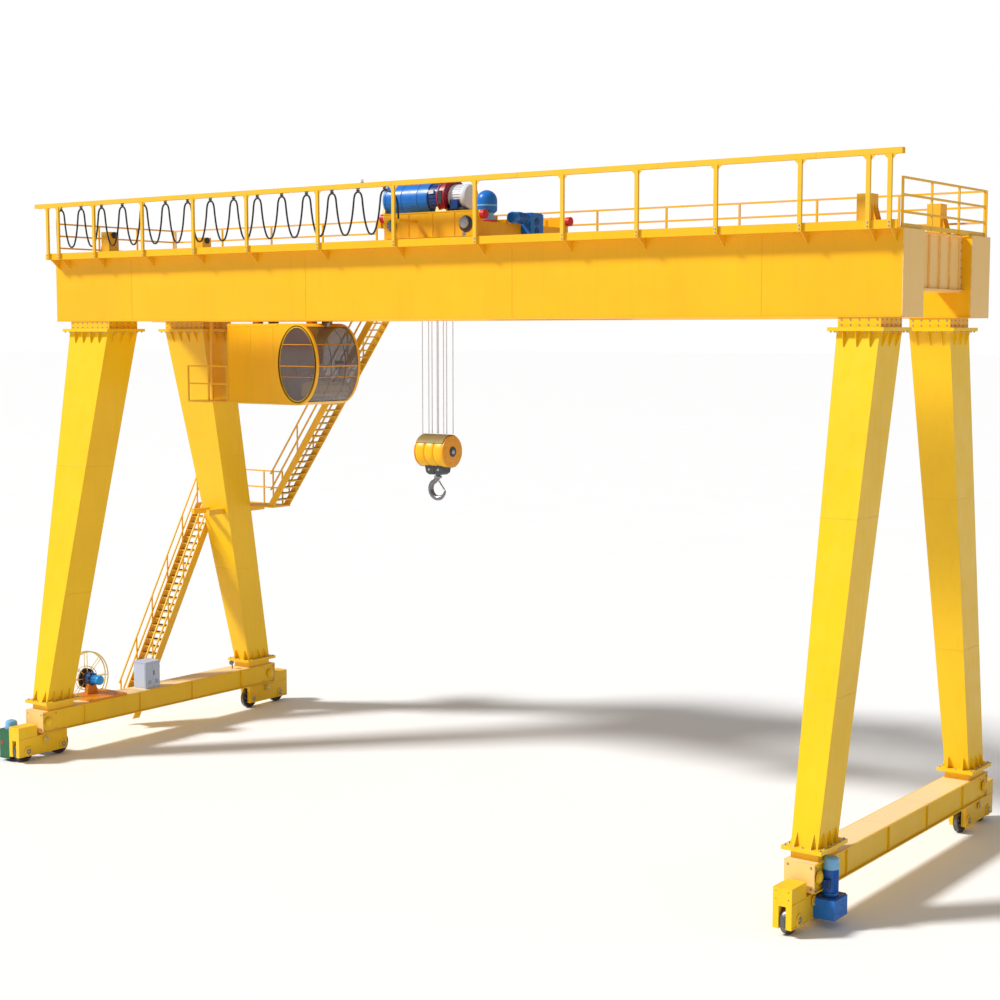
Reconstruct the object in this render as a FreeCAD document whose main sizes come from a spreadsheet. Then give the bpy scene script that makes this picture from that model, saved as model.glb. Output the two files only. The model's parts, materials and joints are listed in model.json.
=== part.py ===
"""Double-girder gantry crane on eight rail wheels, at its real size in millimetres.

X runs along the bridge, Y along the crane rails and +Z up. The origin is on the rail tops, midway
along the bridge and midway between the two girders.
"""
import FreeCAD, Part
import math
import os
import re

Vector = FreeCAD.Vector
Rotation = FreeCAD.Rotation
Placement = FreeCAD.Placement

# ---------------------------------------------------------------- driving sizes
SIZES = {
    # bridge
    "left_overhang": 1425,
    "right_overhang": 945,
    "girder_width": 1060,
    "girder_height": 1800,
    "girder_gap": 2600,
    "under_girder": 12320,
    "web_plate": 14,
    "end_plate": 20,
    "tie_height": 1240,
    "tie_width": 550,
    "tie_setback": 235,
    # trolley rails on the girders
    "rail_left_inset": 1915,
    "rail_right_inset": 1215,
    "rail_width": 70,
    "rail_height": 60,
    "stop_length": 320,
    "stop_width": 360,
    "stop_height": 750,
    # front shelf and the frame that carries the festoon rail
    "shelf_width": 330,
    "shelf_plate": 30,
    "kick_height": 150,
    "post_width": 90,
    "post_depth": 60,
    "centre_bay": 2500,
    "outer_bay": 1990,
    "end_post_inset": 620,
    "track_height": 120,
    "track_width": 140,
    "track_slot": 60,
    "track_lap": 20,
    "track_share": 0.6,
    "track_lift": 1570,
    "track_left_overhang": 400,
    "track_right_overhang": 100,
    # guard rails
    "guard_height": 1040,
    "guard_tube": 45,
    "post_lap": 1,
    "guard_inset": 60,
    # legs
    "rail_span": 23860,
    "leg_plate": 12,
    "leg_lean": 20,
    "leg_foot_out": 4010,
    "leg_top_depth": 1110,
    "leg_foot_depth": 920,
    "left_top_width": 1630,
    "left_foot_width": 630,
    "right_top_width": 960,
    "right_foot_width": 600,
    "flange_plate": 40,
    "flange_lip": 150,
    "head_height": 210,
    "foot_height": 180,
    # sill beams
    "sill_lift": 60,
    "sill_height": 600,
    "sill_half": 4660,
    "sill_flange": 20,
    "sill_lip": 35,
    "left_sill_width": 740,
    "right_sill_width": 680,
    # bogies
    "bogie_pin_out": 4465,
    "bogie_pin_drop": 140,
    "bogie_pin_radius": 55,
    "bogie_width": 420,
    "bogie_skirt": 140,
    "bogie_cover": 80,
    "bogie_inner_end": 145,
    "bogie_outer_end": 320,
    "bogie_nose_rise": 310,
    "wheelbase": 1230,
    "wheel_radius": 310,
    "wheel_width": 130,
    "axle_radius": 50,
    "lug_width": 120,
    "lug_depth": 260,
    "running_gap": 0.5,
    "side_gap": 15,
    "lift_gap": 40,
    "lap": 5,
    # trolley
    "trolley_left": 940,
    "trolley_right": 1930,
    "carriage_lift": 150,
    "carriage_height": 630,
    "carriage_width": 320,
    "trolley_wheel_radius": 200,
    "trolley_wheel_width": 110,
    "trolley_wheel_inset": 340,
    "cross_lift": 180,
    "cross_height": 340,
    "cross_width": 420,
    "hoist_beam_height": 180,
    "hoist_beam_width": 160,
    "hoist_overhang": 60,
    "rope_plate": 50,
    "rope_plate_margin": 160,
    "seat_plate": 60,
    "drum_cheek": 120,
    "drum_radius": 430,
    "drum_left": 2000,
    "drum_right": 120,
    "drum_out": 450,
    "drum_gap": 100,
    # hook block
    "hook_place": 820,
    "block_height": 8900,
    "sheave_radius": 420,
    "rope_radius": 14,
    "rope_spread": 700,
    # cab
    "cab_place": 2615,
    "cab_length": 2740,
    "cab_width": 1850,
    "cab_out": 30,
    "cab_height": 2310,
    "cab_hang": 60,
    "cab_wall": 40,
    "cab_bow": 770,
    "glass": 16,
    # stairs
    "stair_width": 750,
    "stair_clear": 255,
    "stair_foot_out": 360,
    "stair_foot_height": 300,
    "landing_height": 6600,
    "landing_inner": 3240,
    "landing_clear": 68,
    "landing_outer": 4340,
    "upper_place": 1190,
    "upper_run": 5700,
    "top_landing": 1200,
    "tread_depth": 230,
    "tread_plate": 30,
    "stringer_width": 270,
    "stringer_plate": 30,
    "hand_height": 1000,
    "hand_tube": 42,
    "hand_run": 50,
    "deck_plate": 50,
    "bracket_place": 380,
    "bracket_width": 100,
    "bracket_height": 120,
    "bracket_drop": 200,
    "landing_beam_out": 330,
    "beam_width": 120,
    "beam_height": 160,
    "beam_inset": 60,
    "landing_bay": 850,
    # cable reel and cabinet
    "reel_radius": 800,
    "reel_out": 2260,
    "reel_lift": 490,
    "reel_width": 160,
    "reel_hub_radius": 200,
    "reel_post_inset": 60,
    "reel_post_length": 200,
    "reel_post_width": 260,
    "reel_deck_inset": 20,
    "reel_deck_length": 1360,
    "reel_motor_radius": 180,
    "reel_motor_length": 380,
    "reel_axle_end": 30,
    # travel drives and rail clamp
    "drive_shift": 315,
    "drive_gap": 35,
    "drive_lift": 30,
    "drive_foot_width": 360,
    "drive_foot_drop": 60,
    "drive_reach": 680,
    "drive_width": 600,
    "drive_case_drop": 60,
    "drive_motor_length": 790,
    "drive_motor_radius": 130,
    "clamp_width": 420,
    "clamp_length": 520,
    "clamp_rise": 200,
    "clamp_lift": 85,
    "clamp_cap_radius": 176,
    "clamp_cap_height": 240,
    "clamp_foot_length": 208,
    "clamp_foot_drop": 100,
    # hoist and trolley drive
    "buffer_length": 200,
    "buffer_radius": 110,
    "buffer_drop": 105,
    "cross_left": -250,
    "hoist_front": 950,
    "hoist_rear": 440,
    "tow_place": 60,
    "tow_width": 70,
    "tow_drop": 190,
    "tow_lap": 30,
    "brake_length": 250,
    "brake_rim": 60,
    "hoist_motor_length": 560,
    "hoist_motor_radius": 330,
    "motor_foot_inset": 60,
    "thruster_out": 1240,
    "thruster_radius": 260,
    "thruster_height": 780,
    "gear_length": 300,
    "gear_front": 100,
    "gear_rear": 450,
    "gear_lift": 60,
    "gear_rise": 280,
    "gear_motor_radius": 145,
    "gear_motor_length": 640,
    "gear_motor_rise": 130,
    "rope_row": 200,
    "block_tail": 200,
    "block_cap": 30,
    "block_side": 100,
    "block_cap_margin": 120,
    "cheek_plate": 50,
    "cheek_depth": 462,
    "cheek_rise": 168,
    "crosshead_height": 260,
    "crosshead_depth": 380,
    "shank_radius": 70,
    "neck_drop": 140,
    "shank_grip": 156,
    "collar_radius": 112,
    "collar_gap": 8,
    "hook_radius": 240,
    "hook_thick": 75,
    "cab_rim": 90,
    "pad_width": 220,
    "pad_inset": 300,
    "pad_margin": 200,
    "cab_door_place": 760,
    "cab_door_width": 700,
    "cab_door_height": 1950,
    "seat_place": 500,
    "seat_depth": 520,
    "seat_thick": 140,
    "seat_top": 540,
    "seat_post_radius": 60,
    "seat_back_thick": 120,
    "seat_back_width": 500,
    "seat_back_top": 1200,
    "console_ahead": 100,
    "console_length": 620,
    "console_width": 220,
    "console_height": 760,
    "console_out": 480,
    "platform_length": 1700,
    "hanger_inset": 120,
    "hanger_width": 80,
    "rail_gap": 20,
    "cabinet_out": 460,
    "cabinet_width": 560,
    "cabinet_depth": 520,
    "cabinet_height": 810,
    "reel_rim": 45,
    "reel_gap": 180,
    # festoon cable
    "cable_radius": 24,
    "loop_inset": 665,
    "tail_inset": 200,
    "tail_shift": 16,
    "loop_pitch": 865,
    "loop_count": 14,
    "loop_depth": 1050,
    "carrier_drop": 90,
    "carrier_length": 86,
}

doc = FreeCAD.newDocument("GantryCrane")
sheet = doc.addObject("Spreadsheet::Sheet", "Sizes")
for row, (alias, value) in enumerate(SIZES.items(), start=1):
    sheet.set(f"A{row}", str(value))
    sheet.setAlias(f"A{row}", alias)
doc.recompute()

# places that several pieces share, as formulas of the sizes
HALF = "((rail_span + left_overhang + right_overhang) / 2)"
INNER = "girder_gap / 2"
OUTER = "(girder_gap / 2 + girder_width)"
GIRDER_MID = "(girder_gap / 2 + girder_width / 2)"
TOP = "(under_girder + girder_height)"
RAIL_TOP = f"({TOP} + rail_height)"
LEFT = f"(left_overhang - {HALF})"
RIGHT = f"({HALF} - right_overhang)"
KICK_OUT = f"({OUTER} + shelf_width)"
POST_IN = f"({KICK_OUT} + shelf_plate)"
POST_OUT = f"({POST_IN} + post_depth)"
TRACK_OUT = f"({POST_OUT} - track_lap)"
TRACK_LINE = f"(track_width * track_share - {TRACK_OUT})"
TRACK_TOP = f"({TOP} + track_lift)"
TRACK_BOTTOM = f"({TRACK_TOP} - track_height)"
BOGIE_BOTTOM = "(wheel_radius - bogie_skirt)"
BOGIE_TOP = "(2 * wheel_radius + bogie_cover)"
PIN_HEIGHT = f"({BOGIE_TOP} - bogie_pin_drop)"
BOGIE_END = "(bogie_pin_out + wheelbase / 2 + bogie_outer_end)"
SILL_BOTTOM = f"({BOGIE_TOP} + sill_lift)"
SILL_TOP = f"({SILL_BOTTOM} + sill_height)"
FOOT_FLANGE = f"({SILL_TOP} + foot_height)"
LEG_BASE = f"({FOOT_FLANGE} + 2 * flange_plate)"
LEG_TOP_OUT = f"({GIRDER_MID} + leg_lean)"
HEAD_FLANGE = "(under_girder - head_height - flange_plate)"
LEG_TOP = f"({HEAD_FLANGE} - flange_plate)"
LANDING_SHARE = f"((landing_height - deck_plate - {LEG_BASE}) / ({LEG_TOP} - {LEG_BASE}))"
LEG_FOOT_FACE = "(leg_foot_out + leg_foot_depth / 2)"
LEG_TOP_FACE = f"({LEG_TOP_OUT} + leg_top_depth / 2)"
LANDING_BEHIND = f"({LEG_FOOT_FACE} + {LANDING_SHARE} * ({LEG_TOP_FACE} - {LEG_FOOT_FACE}) + landing_clear)"
CARRIAGE_BOTTOM = f"({RAIL_TOP} + carriage_lift)"
CARRIAGE_TOP = f"({CARRIAGE_BOTTOM} + carriage_height)"
CROSS_BOTTOM = f"({RAIL_TOP} + cross_lift)"
CROSS_TOP = f"({CROSS_BOTTOM} + cross_height)"
HOIST_TOP = f"({CROSS_TOP} + hoist_beam_height)"
HOIST_ACROSS = ("0 - hoist_front", "hoist_rear + hoist_beam_width")
DRUM_HEIGHT = f"({HOIST_TOP} + drum_gap + drum_radius)"
CAB_LEFT = f"({LEFT} + cab_place)"
CAB_RIGHT = f"({CAB_LEFT} + cab_length)"
CAB_OUTER = f"({OUTER} + cab_out)"
CAB_INNER = f"({CAB_OUTER} - cab_width)"
CAB_TOP = "(under_girder - cab_hang)"
STAIR_OUTER = f"({LEFT} - left_sill_width / 2 - stair_clear - stair_width)"
UPPER_START = f"({LEFT} + upper_place)"
UPPER_END = f"({UPPER_START} + upper_run)"
REEL_HEIGHT = f"({SILL_TOP} + reel_lift)"
POSTS_A_SIDE = 6
LEFT_GUARD_POSTS = 5
RIGHT_GUARD_POSTS = 9
END_GUARD_POSTS = 4
POST_MARGIN = 0.02
LOWER_STEPS = 31
UPPER_STEPS = 37
REEL_SPOKES = 6


# ---------------------------------------------------------------- making pieces
def bound(formula):
    """Put the sheet's name in front of each size in a formula."""
    return re.sub(r"[a-z]\w+", lambda word: f"Sizes.{word[0]}" if word[0] in SIZES else word[0], str(formula))


def size(alias):
    """The value of a size, read from the sheet."""
    return float(sheet.get(alias))


def value(formula):
    """The length that a formula gives, worked out in the sheet."""
    sheet.set("B1", f"={formula}")
    sheet.recompute()
    return float(sheet.get("B1"))


def flipped(span):
    """The same stretch on the other side of the middle plane."""
    low, high = span
    return (f"0 - ({high})", f"0 - ({low})")


def sided(side, span):
    """A stretch given outwards from the middle, on side 1 or -1."""
    return span if side > 0 else flipped(span)


def about(middle, width):
    """A stretch of a given width about its middle."""
    return (f"{middle} - ({width}) / 2", f"{middle} + ({width}) / 2")


def box(name, x, y, z):
    """An upright box between low and high formulas on each axis."""
    piece = doc.addObject("Part::Box", name)
    for side, axis, (low, high) in zip(("Length", "Width", "Height"), "xyz", (x, y, z)):
        piece.setExpression(side, bound(f"({high}) - ({low})"))
        piece.setExpression(f"Placement.Base.{axis}", bound(low))
    return piece


TURNS = {
    "x": Rotation(Vector(0, 1, 0), 90),
    "y": Rotation(Vector(1, 0, 0), -90),
    "z": Rotation(),
}


def rod(name, axis, radius, span, at):
    """A round bar along an axis, over a stretch of it, centred at two formulas on the other two axes."""
    piece = doc.addObject("Part::Cylinder", name)
    piece.Placement = Placement(Vector(), TURNS[axis])
    piece.setExpression("Radius", bound(radius))
    piece.setExpression("Height", bound(f"({span[1]}) - ({span[0]})"))
    others = [letter for letter in "xyz" if letter != axis]
    piece.setExpression(f"Placement.Base.{axis}", bound(span[0]))
    for letter, formula in zip(others, at):
        piece.setExpression(f"Placement.Base.{letter}", bound(formula))
    return piece


def taper(name, x_low, y_low, x_high, y_high, z):
    """A straight-sided solid from a level rectangle at its foot to another at its top."""
    piece = doc.addObject("Part::Wedge", name)
    piece.Placement = Placement(Vector(), Rotation(Vector(1, 0, 0), 90))
    values = {
        "Xmin": x_low[0], "Xmax": x_low[1], "Zmin": f"0 - ({y_low[1]})", "Zmax": f"0 - ({y_low[0]})",
        "X2min": x_high[0], "X2max": x_high[1], "Z2min": f"0 - ({y_high[1]})", "Z2max": f"0 - ({y_high[0]})",
        "Ymin": z[0], "Ymax": z[1],
    }
    for key, formula in values.items():
        piece.setExpression(key, bound(formula))
    return piece


def leaning(name, run_axis, low, high, thick, across, z):
    """A bar that climbs along +X or +Y with level ends: low and high are its middles at each end."""
    ends = [about(low, thick), about(high, thick)]
    if run_axis == "x":
        return taper(name, ends[0], across, ends[1], across, z)
    return taper(name, across, ends[0], across, ends[1], z)


def cut(name, base, *tools):
    """The base with each tool taken out of it."""
    tool = tools[0] if len(tools) == 1 else fused(name + "_tools", tools)
    piece = doc.addObject("Part::Cut", name)
    piece.Base = base
    piece.Tool = tool
    return piece


def fused(name, pieces):
    """Pieces joined into one solid."""
    piece = doc.addObject("Part::MultiFuse", name)
    piece.Shapes = list(pieces)
    piece.Refine = False
    return piece


def group(name, pieces):
    """Separate solids kept together."""
    piece = doc.addObject("Part::Compound", name)
    piece.Links = list(pieces)
    return piece


NODES = []


def node(label, piece):
    """Name a finished sub-part."""
    piece.Label = label
    NODES.append(piece)
    return piece


def node_of(label, *pieces):
    """A sub-part made of solids that don't touch."""
    return node(label, group("all_" + label, pieces))


def solid_of(label, *pieces):
    """A sub-part whose pieces are welded into one."""
    return node(label, fused("one_" + label, pieces))


# ---------------------------------------------------------------- bridge
def bridge():
    inside = (f"0 - {HALF} + end_plate", f"{HALF} - end_plate")
    for label, side in (("front_girder", -1), ("rear_girder", 1)):
        shell = box(label + "_shell", inside, sided(side, (INNER, OUTER)), ("under_girder", TOP))
        hollow = box(
            label + "_hollow", inside,
            sided(side, (f"{INNER} + web_plate", f"{OUTER} - web_plate")),
            ("under_girder + web_plate", f"{TOP} - web_plate"),
        )
        node(label, cut(label + "_cut", shell, hollow))

    plates = []
    for end in (-1, 1):
        for side in (-1, 1):
            x = sided(end, (f"{HALF} - end_plate", HALF))
            plates.append(box("girder_end", x, sided(side, (INNER, OUTER)), ("under_girder", TOP)))
        for line, width in ((LEFT, "left_sill_width"), (RIGHT, "right_sill_width")):
            y = sided(end, ("sill_half", "sill_half + end_plate"))
            plates.append(box("sill_end", about(line, width), y, (SILL_BOTTOM, SILL_TOP)))
    node_of("beam_end_plates", *plates)

    ties = []
    for end in (-1, 1):
        x = sided(end, (f"{HALF} - tie_setback - tie_width", f"{HALF} - tie_setback"))
        x_in = sided(end, (
            f"{HALF} - tie_setback - tie_width + web_plate", f"{HALF} - tie_setback - web_plate"))
        y = (f"0 - {INNER}", INNER)
        outside = box("tie_shell", x, y, (f"{TOP} - tie_height", TOP))
        inside_tie = box("tie_hollow", x_in, y, (f"{TOP} - tie_height + web_plate", f"{TOP} - web_plate"))
        ties.append(cut("end_tie", outside, inside_tie))
    node_of("end_ties", *ties)

    rails = []
    stops = []
    rail_left = f"(rail_left_inset - {HALF})"
    rail_right = f"({HALF} - rail_right_inset)"
    for side in (-1, 1):
        middle = GIRDER_MID if side > 0 else f"(0 - {GIRDER_MID})"
        rails.append(box("rail", (rail_left, rail_right), about(middle, "rail_width"), (TOP, RAIL_TOP)))
        for x in ((rail_right, f"{rail_right} + stop_length"), (f"{rail_left} - stop_length", rail_left)):
            stops.append(box("stop", x, about(middle, "stop_width"), (TOP, f"{TOP} + stop_height")))
    node_of("trolley_rails", *rails)
    node_of("rail_end_stops", *stops)


def festoon_frame():
    length = (f"0 - {HALF}", HALF)
    deck = box("shelf_deck", length, (f"0 - {KICK_OUT}", f"0 - {OUTER}"), (f"{TOP} - shelf_plate", TOP))
    kick = box(
        "shelf_kick", length, (f"0 - {POST_IN}", f"0 - {KICK_OUT}"),
        (f"{TOP} - shelf_plate", f"{TOP} + kick_height"),
    )
    solid_of("front_shelf", deck, kick)

    places = ["0"]
    for side in ("", "0 - "):
        for count in (1, 2):
            places.append(f"{side}{count} * centre_bay")
        for count in (1, 2, 3, 4):
            reach = f"(2 * centre_bay + {count} * outer_bay)"
            places.append(f"{side}{reach}")
        places.append(f"{side}({HALF} - end_post_inset)")
    posts = [
        box("post", about(f"({place})", "post_width"), (f"0 - {POST_OUT}", f"0 - {POST_IN}"),
            (f"{TOP} - shelf_plate", TRACK_BOTTOM))
        for place in places
    ]
    node_of("festoon_posts", *posts)
    track = box(
        "track_bar", (f"0 - {HALF} - track_left_overhang", f"{HALF} + track_right_overhang"),
        (f"0 - {TRACK_OUT}", f"track_width - {TRACK_OUT}"), (TRACK_BOTTOM, TRACK_TOP),
    )
    slot = box(
        "track_slot", (f"0 - {HALF} - track_left_overhang", f"{HALF} + track_right_overhang"),
        about(TRACK_LINE, "track_slot"), (TRACK_BOTTOM, f"{TRACK_TOP} - shelf_plate"),
    )
    node("festoon_rail", cut("festoon_rail_cut", track, slot))


def guard_rails():
    """Three rails on posts along the back and each end of the bridge, open where the stair lands."""
    tube = "guard_tube"
    half_tube = "guard_tube / 2"
    end_x = f"({HALF} - guard_inset)"
    back_y = f"({OUTER} - guard_inset)"
    end_stop = f"({back_y} - 2 * {tube})"
    gap = (UPPER_END, f"({UPPER_END} + top_landing)")
    post_z = (TOP, f"{TOP} + guard_height - {half_tube}")
    levels = [
        (f"{TOP} + guard_height * {share} - {tube}", f"{TOP} + guard_height * {share}")
        for share in ("1", "2 / 3", "1 / 3")
    ]

    back = (f"{back_y} - {tube}", back_y)
    within = (f"{back[0]} + post_lap", f"{back_y} - post_lap")
    left_run = [box("back_rail", (f"0 - {end_x}", gap[0]), back, z) for z in levels]
    right_run = [box("back_rail", (gap[1], end_x), back, z) for z in levels]
    for count in range(LEFT_GUARD_POSTS):
        low = f"{count} * ({gap[0]} + {end_x} - {tube}) / {LEFT_GUARD_POSTS - 1} - {end_x}"
        left_run.append(box("back_post", (low, f"{low} + {tube}"), within, post_z))
    for count in range(RIGHT_GUARD_POSTS):
        low = f"{count} * ({end_x} - {gap[1]} - {tube}) / {RIGHT_GUARD_POSTS - 1} + {gap[1]}"
        right_run.append(box("back_post", (low, f"{low} + {tube}"), within, post_z))

    end_runs = []
    for end in (-1, 1):
        x = sided(end, (f"{end_x} - {tube}", end_x))
        x_within = (f"{x[0]} + post_lap", f"{x[1]} - post_lap")
        run = [box("end_rail", x, (f"0 - {back_y}", end_stop), z) for z in levels]
        for count in range(END_GUARD_POSTS):
            low = f"{count} * ({end_stop} + {back_y} - {tube}) / {END_GUARD_POSTS - 1} - {back_y}"
            run.append(box("end_post", x_within, (low, f"{low} + {tube}"), post_z))
        end_runs.append(fused("end_guard", run))
    back_runs = [fused("left_back_guard", left_run), fused("right_back_guard", right_run)]
    node_of("guard_rails", *back_runs, *end_runs)


# ---------------------------------------------------------------- legs and sills
def leg(name, line, side, top_width, foot_width, inset="0"):
    """One leg's tapered outside, or its inside when inset by a plate."""
    def rectangle(middle, width):
        low, high = about(middle, width)
        return (f"{low} + {inset}", f"{high} - {inset}")

    foot = "leg_foot_out" if side > 0 else "(0 - leg_foot_out)"
    top = LEG_TOP_OUT if side > 0 else f"(0 - {LEG_TOP_OUT})"
    return taper(
        name, rectangle(line, foot_width), rectangle(foot, "leg_foot_depth"),
        rectangle(line, top_width), rectangle(top, "leg_top_depth"),
        (LEG_BASE, LEG_TOP),
    )


def flange(name, line, side, width, out, depth, z):
    """A bolted flange plate that stands out past the leg on all sides."""
    middle = out if side > 0 else f"(0 - {out})"
    x = about(line, f"({width}) + 2 * flange_lip")
    return box(name, x, about(middle, f"({depth}) + 2 * flange_lip"), z)


def ring(name, line, side, width, out, depth, z):
    """A short hollow stub under or over a flange."""
    middle = out if side > 0 else f"(0 - {out})"
    outside = box(name + "_shell", about(line, width), about(middle, depth), z)
    inside = box(
        name + "_hollow", about(line, f"({width}) - 4 * leg_plate"),
        about(middle, f"({depth}) - 4 * leg_plate"), z,
    )
    return cut(name, outside, inside)


def legs():
    heads = []
    feet = []
    frames = (("left", LEFT), ("right", RIGHT))
    for name, line in frames:
        pair = []
        top_width = f"{name}_top_width"
        foot_width = f"{name}_foot_width"
        for place, side in (("front", -1), ("rear", 1)):
            label = f"{name}_{place}_leg"
            tube = cut(
                label + "_tube", leg(label + "_shell", line, side, top_width, foot_width),
                leg(label + "_hollow", line, side, top_width, foot_width, "leg_plate"),
            )
            foot_plate = flange(
                label + "_foot_plate", line, side, foot_width, "leg_foot_out", "leg_foot_depth",
                (f"{FOOT_FLANGE} + flange_plate", LEG_BASE),
            )
            top_plate = flange(
                label + "_top_plate", line, side, top_width, LEG_TOP_OUT, "leg_top_depth",
                (LEG_TOP, HEAD_FLANGE),
            )
            pair.append(fused(label, [tube, foot_plate, top_plate]))
            heads.append(fused(label + "_head", [
                flange(label + "_head_plate", line, side, top_width, LEG_TOP_OUT, "leg_top_depth",
                       (HEAD_FLANGE, f"{HEAD_FLANGE} + flange_plate")),
                ring(label + "_head_ring", line, side, top_width, GIRDER_MID, "girder_width",
                     (f"{HEAD_FLANGE} + flange_plate", "under_girder")),
            ]))
            feet.append(fused(label + "_foot", [
                flange(label + "_sole_plate", line, side, foot_width, "leg_foot_out", "leg_foot_depth",
                       (FOOT_FLANGE, f"{FOOT_FLANGE} + flange_plate")),
                ring(label + "_foot_ring", line, side, foot_width, "leg_foot_out", "leg_foot_depth",
                     (SILL_TOP, FOOT_FLANGE)),
            ]))
        node_of(f"{name}_legs", *pair)
    node_of("leg_heads", *heads)
    node_of("leg_feet", *feet)


def sills():
    length = ("0 - sill_half", "sill_half")
    beams = []
    for name, line in (("left", LEFT), ("right", RIGHT)):
        width = f"{name}_sill_width"
        top = box(f"{name}_sill_cover", about(line, width), length, (f"{SILL_TOP} - sill_flange", SILL_TOP))
        floor_z = (SILL_BOTTOM, f"{SILL_BOTTOM} + sill_flange")
        bottom = box(f"{name}_sill_floor", about(line, width), length, floor_z)
        body = box(
            f"{name}_sill_body", about(line, f"{width} - 2 * sill_lip"), length,
            (f"{SILL_BOTTOM} + sill_flange", f"{SILL_TOP} - sill_flange"),
        )
        inside = box(
            f"{name}_sill_hollow", about(line, f"{width} - 2 * sill_lip - 2 * web_plate"), length,
            (f"{SILL_BOTTOM} + sill_flange", f"{SILL_TOP} - sill_flange"),
        )
        beams.append(cut(f"{name}_sill_cut", fused(f"{name}_sill_shell", [top, bottom, body]), inside))
    node_of("sill_beams", *beams)


# ---------------------------------------------------------------- bogies
def out_by(side, distance):
    """A place on Y, so far out from the middle on one side."""
    return distance if side > 0 else f"(0 - {distance})"


WHEEL_PLACES = (
    ("inner", "(bogie_pin_out - wheelbase / 2)"),
    ("outer", "(bogie_pin_out + wheelbase / 2)"),
)


def bogie(name, line, side):
    """A two-wheel truck that rocks on a pin under its end of the sill beam."""
    width = about(line, "bogie_width")
    length = sided(side, ("bogie_pin_out - wheelbase / 2 - bogie_inner_end", BOGIE_END))
    beam = box(name + "_beam", width, length, (BOGIE_BOTTOM, BOGIE_TOP))
    nose = box(
        name + "_nose", width,
        sided(side, ("sill_half + end_plate + 2 * lift_gap", BOGIE_END)),
        (f"{BOGIE_TOP} - lift_gap", f"{BOGIE_TOP} + bogie_nose_rise"),
    )
    tools = [box(
        name + "_lug_slot", about(line, "lug_width + 2 * side_gap"),
        about(out_by(side, "bogie_pin_out"), "lug_depth + 4 * side_gap"),
        (f"{PIN_HEIGHT} - lug_depth / 2 - 2 * side_gap", BOGIE_TOP),
    )]
    for place, out in WHEEL_PLACES:
        tools.append(box(
            name + "_pocket", about(line, "wheel_width + 2 * side_gap"),
            about(out_by(side, out), "2 * wheel_radius + 2 * side_gap"),
            (BOGIE_BOTTOM, "2 * wheel_radius + side_gap"),
        ))
        tools.append(rod(
            name + "_bore", "x", "axle_radius + running_gap", width,
            (out_by(side, out), "wheel_radius"),
        ))
    tools.append(rod(
        name + "_pin_bore", "x", "bogie_pin_radius + running_gap", width,
        (out_by(side, "bogie_pin_out"), PIN_HEIGHT),
    ))
    node(f"{name}_bogie", cut(name + "_bogie_cut", fused(name + "_body", [beam, nose]), *tools))
    for place, out in WHEEL_PLACES:
        at = (out_by(side, out), "wheel_radius")
        tyre = rod(f"{name}_{place}_tread", "x", "wheel_radius", about(line, "wheel_width"), at)
        axle = rod(f"{name}_{place}_axle", "x", "axle_radius", about(line, "bogie_width + 4 * side_gap"), at)
        solid_of(f"{name}_{place}_wheel", tyre, axle)


def bogies():
    hangers = []
    for frame, line in (("left", LEFT), ("right", RIGHT)):
        for place, side in (("front", -1), ("rear", 1)):
            name = f"{frame}_{place}"
            bogie(name, line, side)
            lug = box(
                name + "_lug", about(line, "lug_width"), about(out_by(side, "bogie_pin_out"), "lug_depth"),
                (f"{PIN_HEIGHT} - lug_depth / 2", SILL_BOTTOM),
            )
            pin = rod(
                name + "_pin", "x", "bogie_pin_radius", about(line, "bogie_width + 4 * side_gap"),
                (out_by(side, "bogie_pin_out"), PIN_HEIGHT),
            )
            hangers.append(fused(name + "_hanger", [lug, pin]))
    node_of("bogie_hangers", *hangers)


def travel_drive(frame, line, sign, motor_radius):
    """A reducer on the inner wheel's end of a front bogie, with its motor standing on it."""
    def outward(low, high):
        near = f"{line} + ({low})" if sign > 0 else f"{line} - ({high})"
        far = f"{line} + ({high})" if sign > 0 else f"{line} - ({low})"
        return (near, far)

    at = out_by(-1, "(bogie_pin_out - drive_shift)")
    case_top = f"({BOGIE_TOP} - drive_case_drop)"
    case = box(
        frame + "_drive_case", outward("bogie_width / 2 + drive_gap", "drive_reach"),
        about(at, "drive_width"), (f"{BOGIE_BOTTOM} + drive_lift", case_top),
    )
    foot = box(
        frame + "_drive_foot", outward("bogie_width / 2", "bogie_width / 2 + drive_gap + lap"),
        about(at, "drive_foot_width"), (f"{PIN_HEIGHT} - drive_foot_drop", f"{case_top} - lap"),
    )
    middle = outward(f"drive_reach - {motor_radius}", f"drive_reach - {motor_radius}")[0]
    motor = rod(
        frame + "_drive_motor", "z", motor_radius,
        (f"{case_top} - lap", f"{case_top} + drive_motor_length"), (f"({middle})", at),
    )
    solid_of(f"{frame}_travel_drive", case, foot, motor)


def rail_clamp():
    """A clamp unit with a round cap, on the outer side of the front left bogie's nose."""
    side_x = f"{LEFT} - bogie_width / 2"
    near = f"{side_x} - drive_gap"
    far = f"{near} - clamp_width"
    y = (f"0 - {BOGIE_END}", f"clamp_length - {BOGIE_END}")
    top = f"({BOGIE_TOP} + clamp_rise)"
    middle = (f"({near}) - clamp_width / 2", f"clamp_length / 2 - {BOGIE_END}")
    case = box("clamp_case", (far, near), y, ("clamp_lift", top))
    cap = rod("clamp_cap", "z", "clamp_cap_radius", (f"{top} - lap", f"{top} + clamp_cap_height"), middle)
    foot = box(
        "clamp_foot", (f"{near} - lap", side_x), (y[0], f"{y[0]} + clamp_foot_length"),
        (f"{PIN_HEIGHT} - clamp_foot_drop", f"{BOGIE_TOP} - lap"),
    )
    solid_of("rail_clamp", case, cap, foot)


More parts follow.
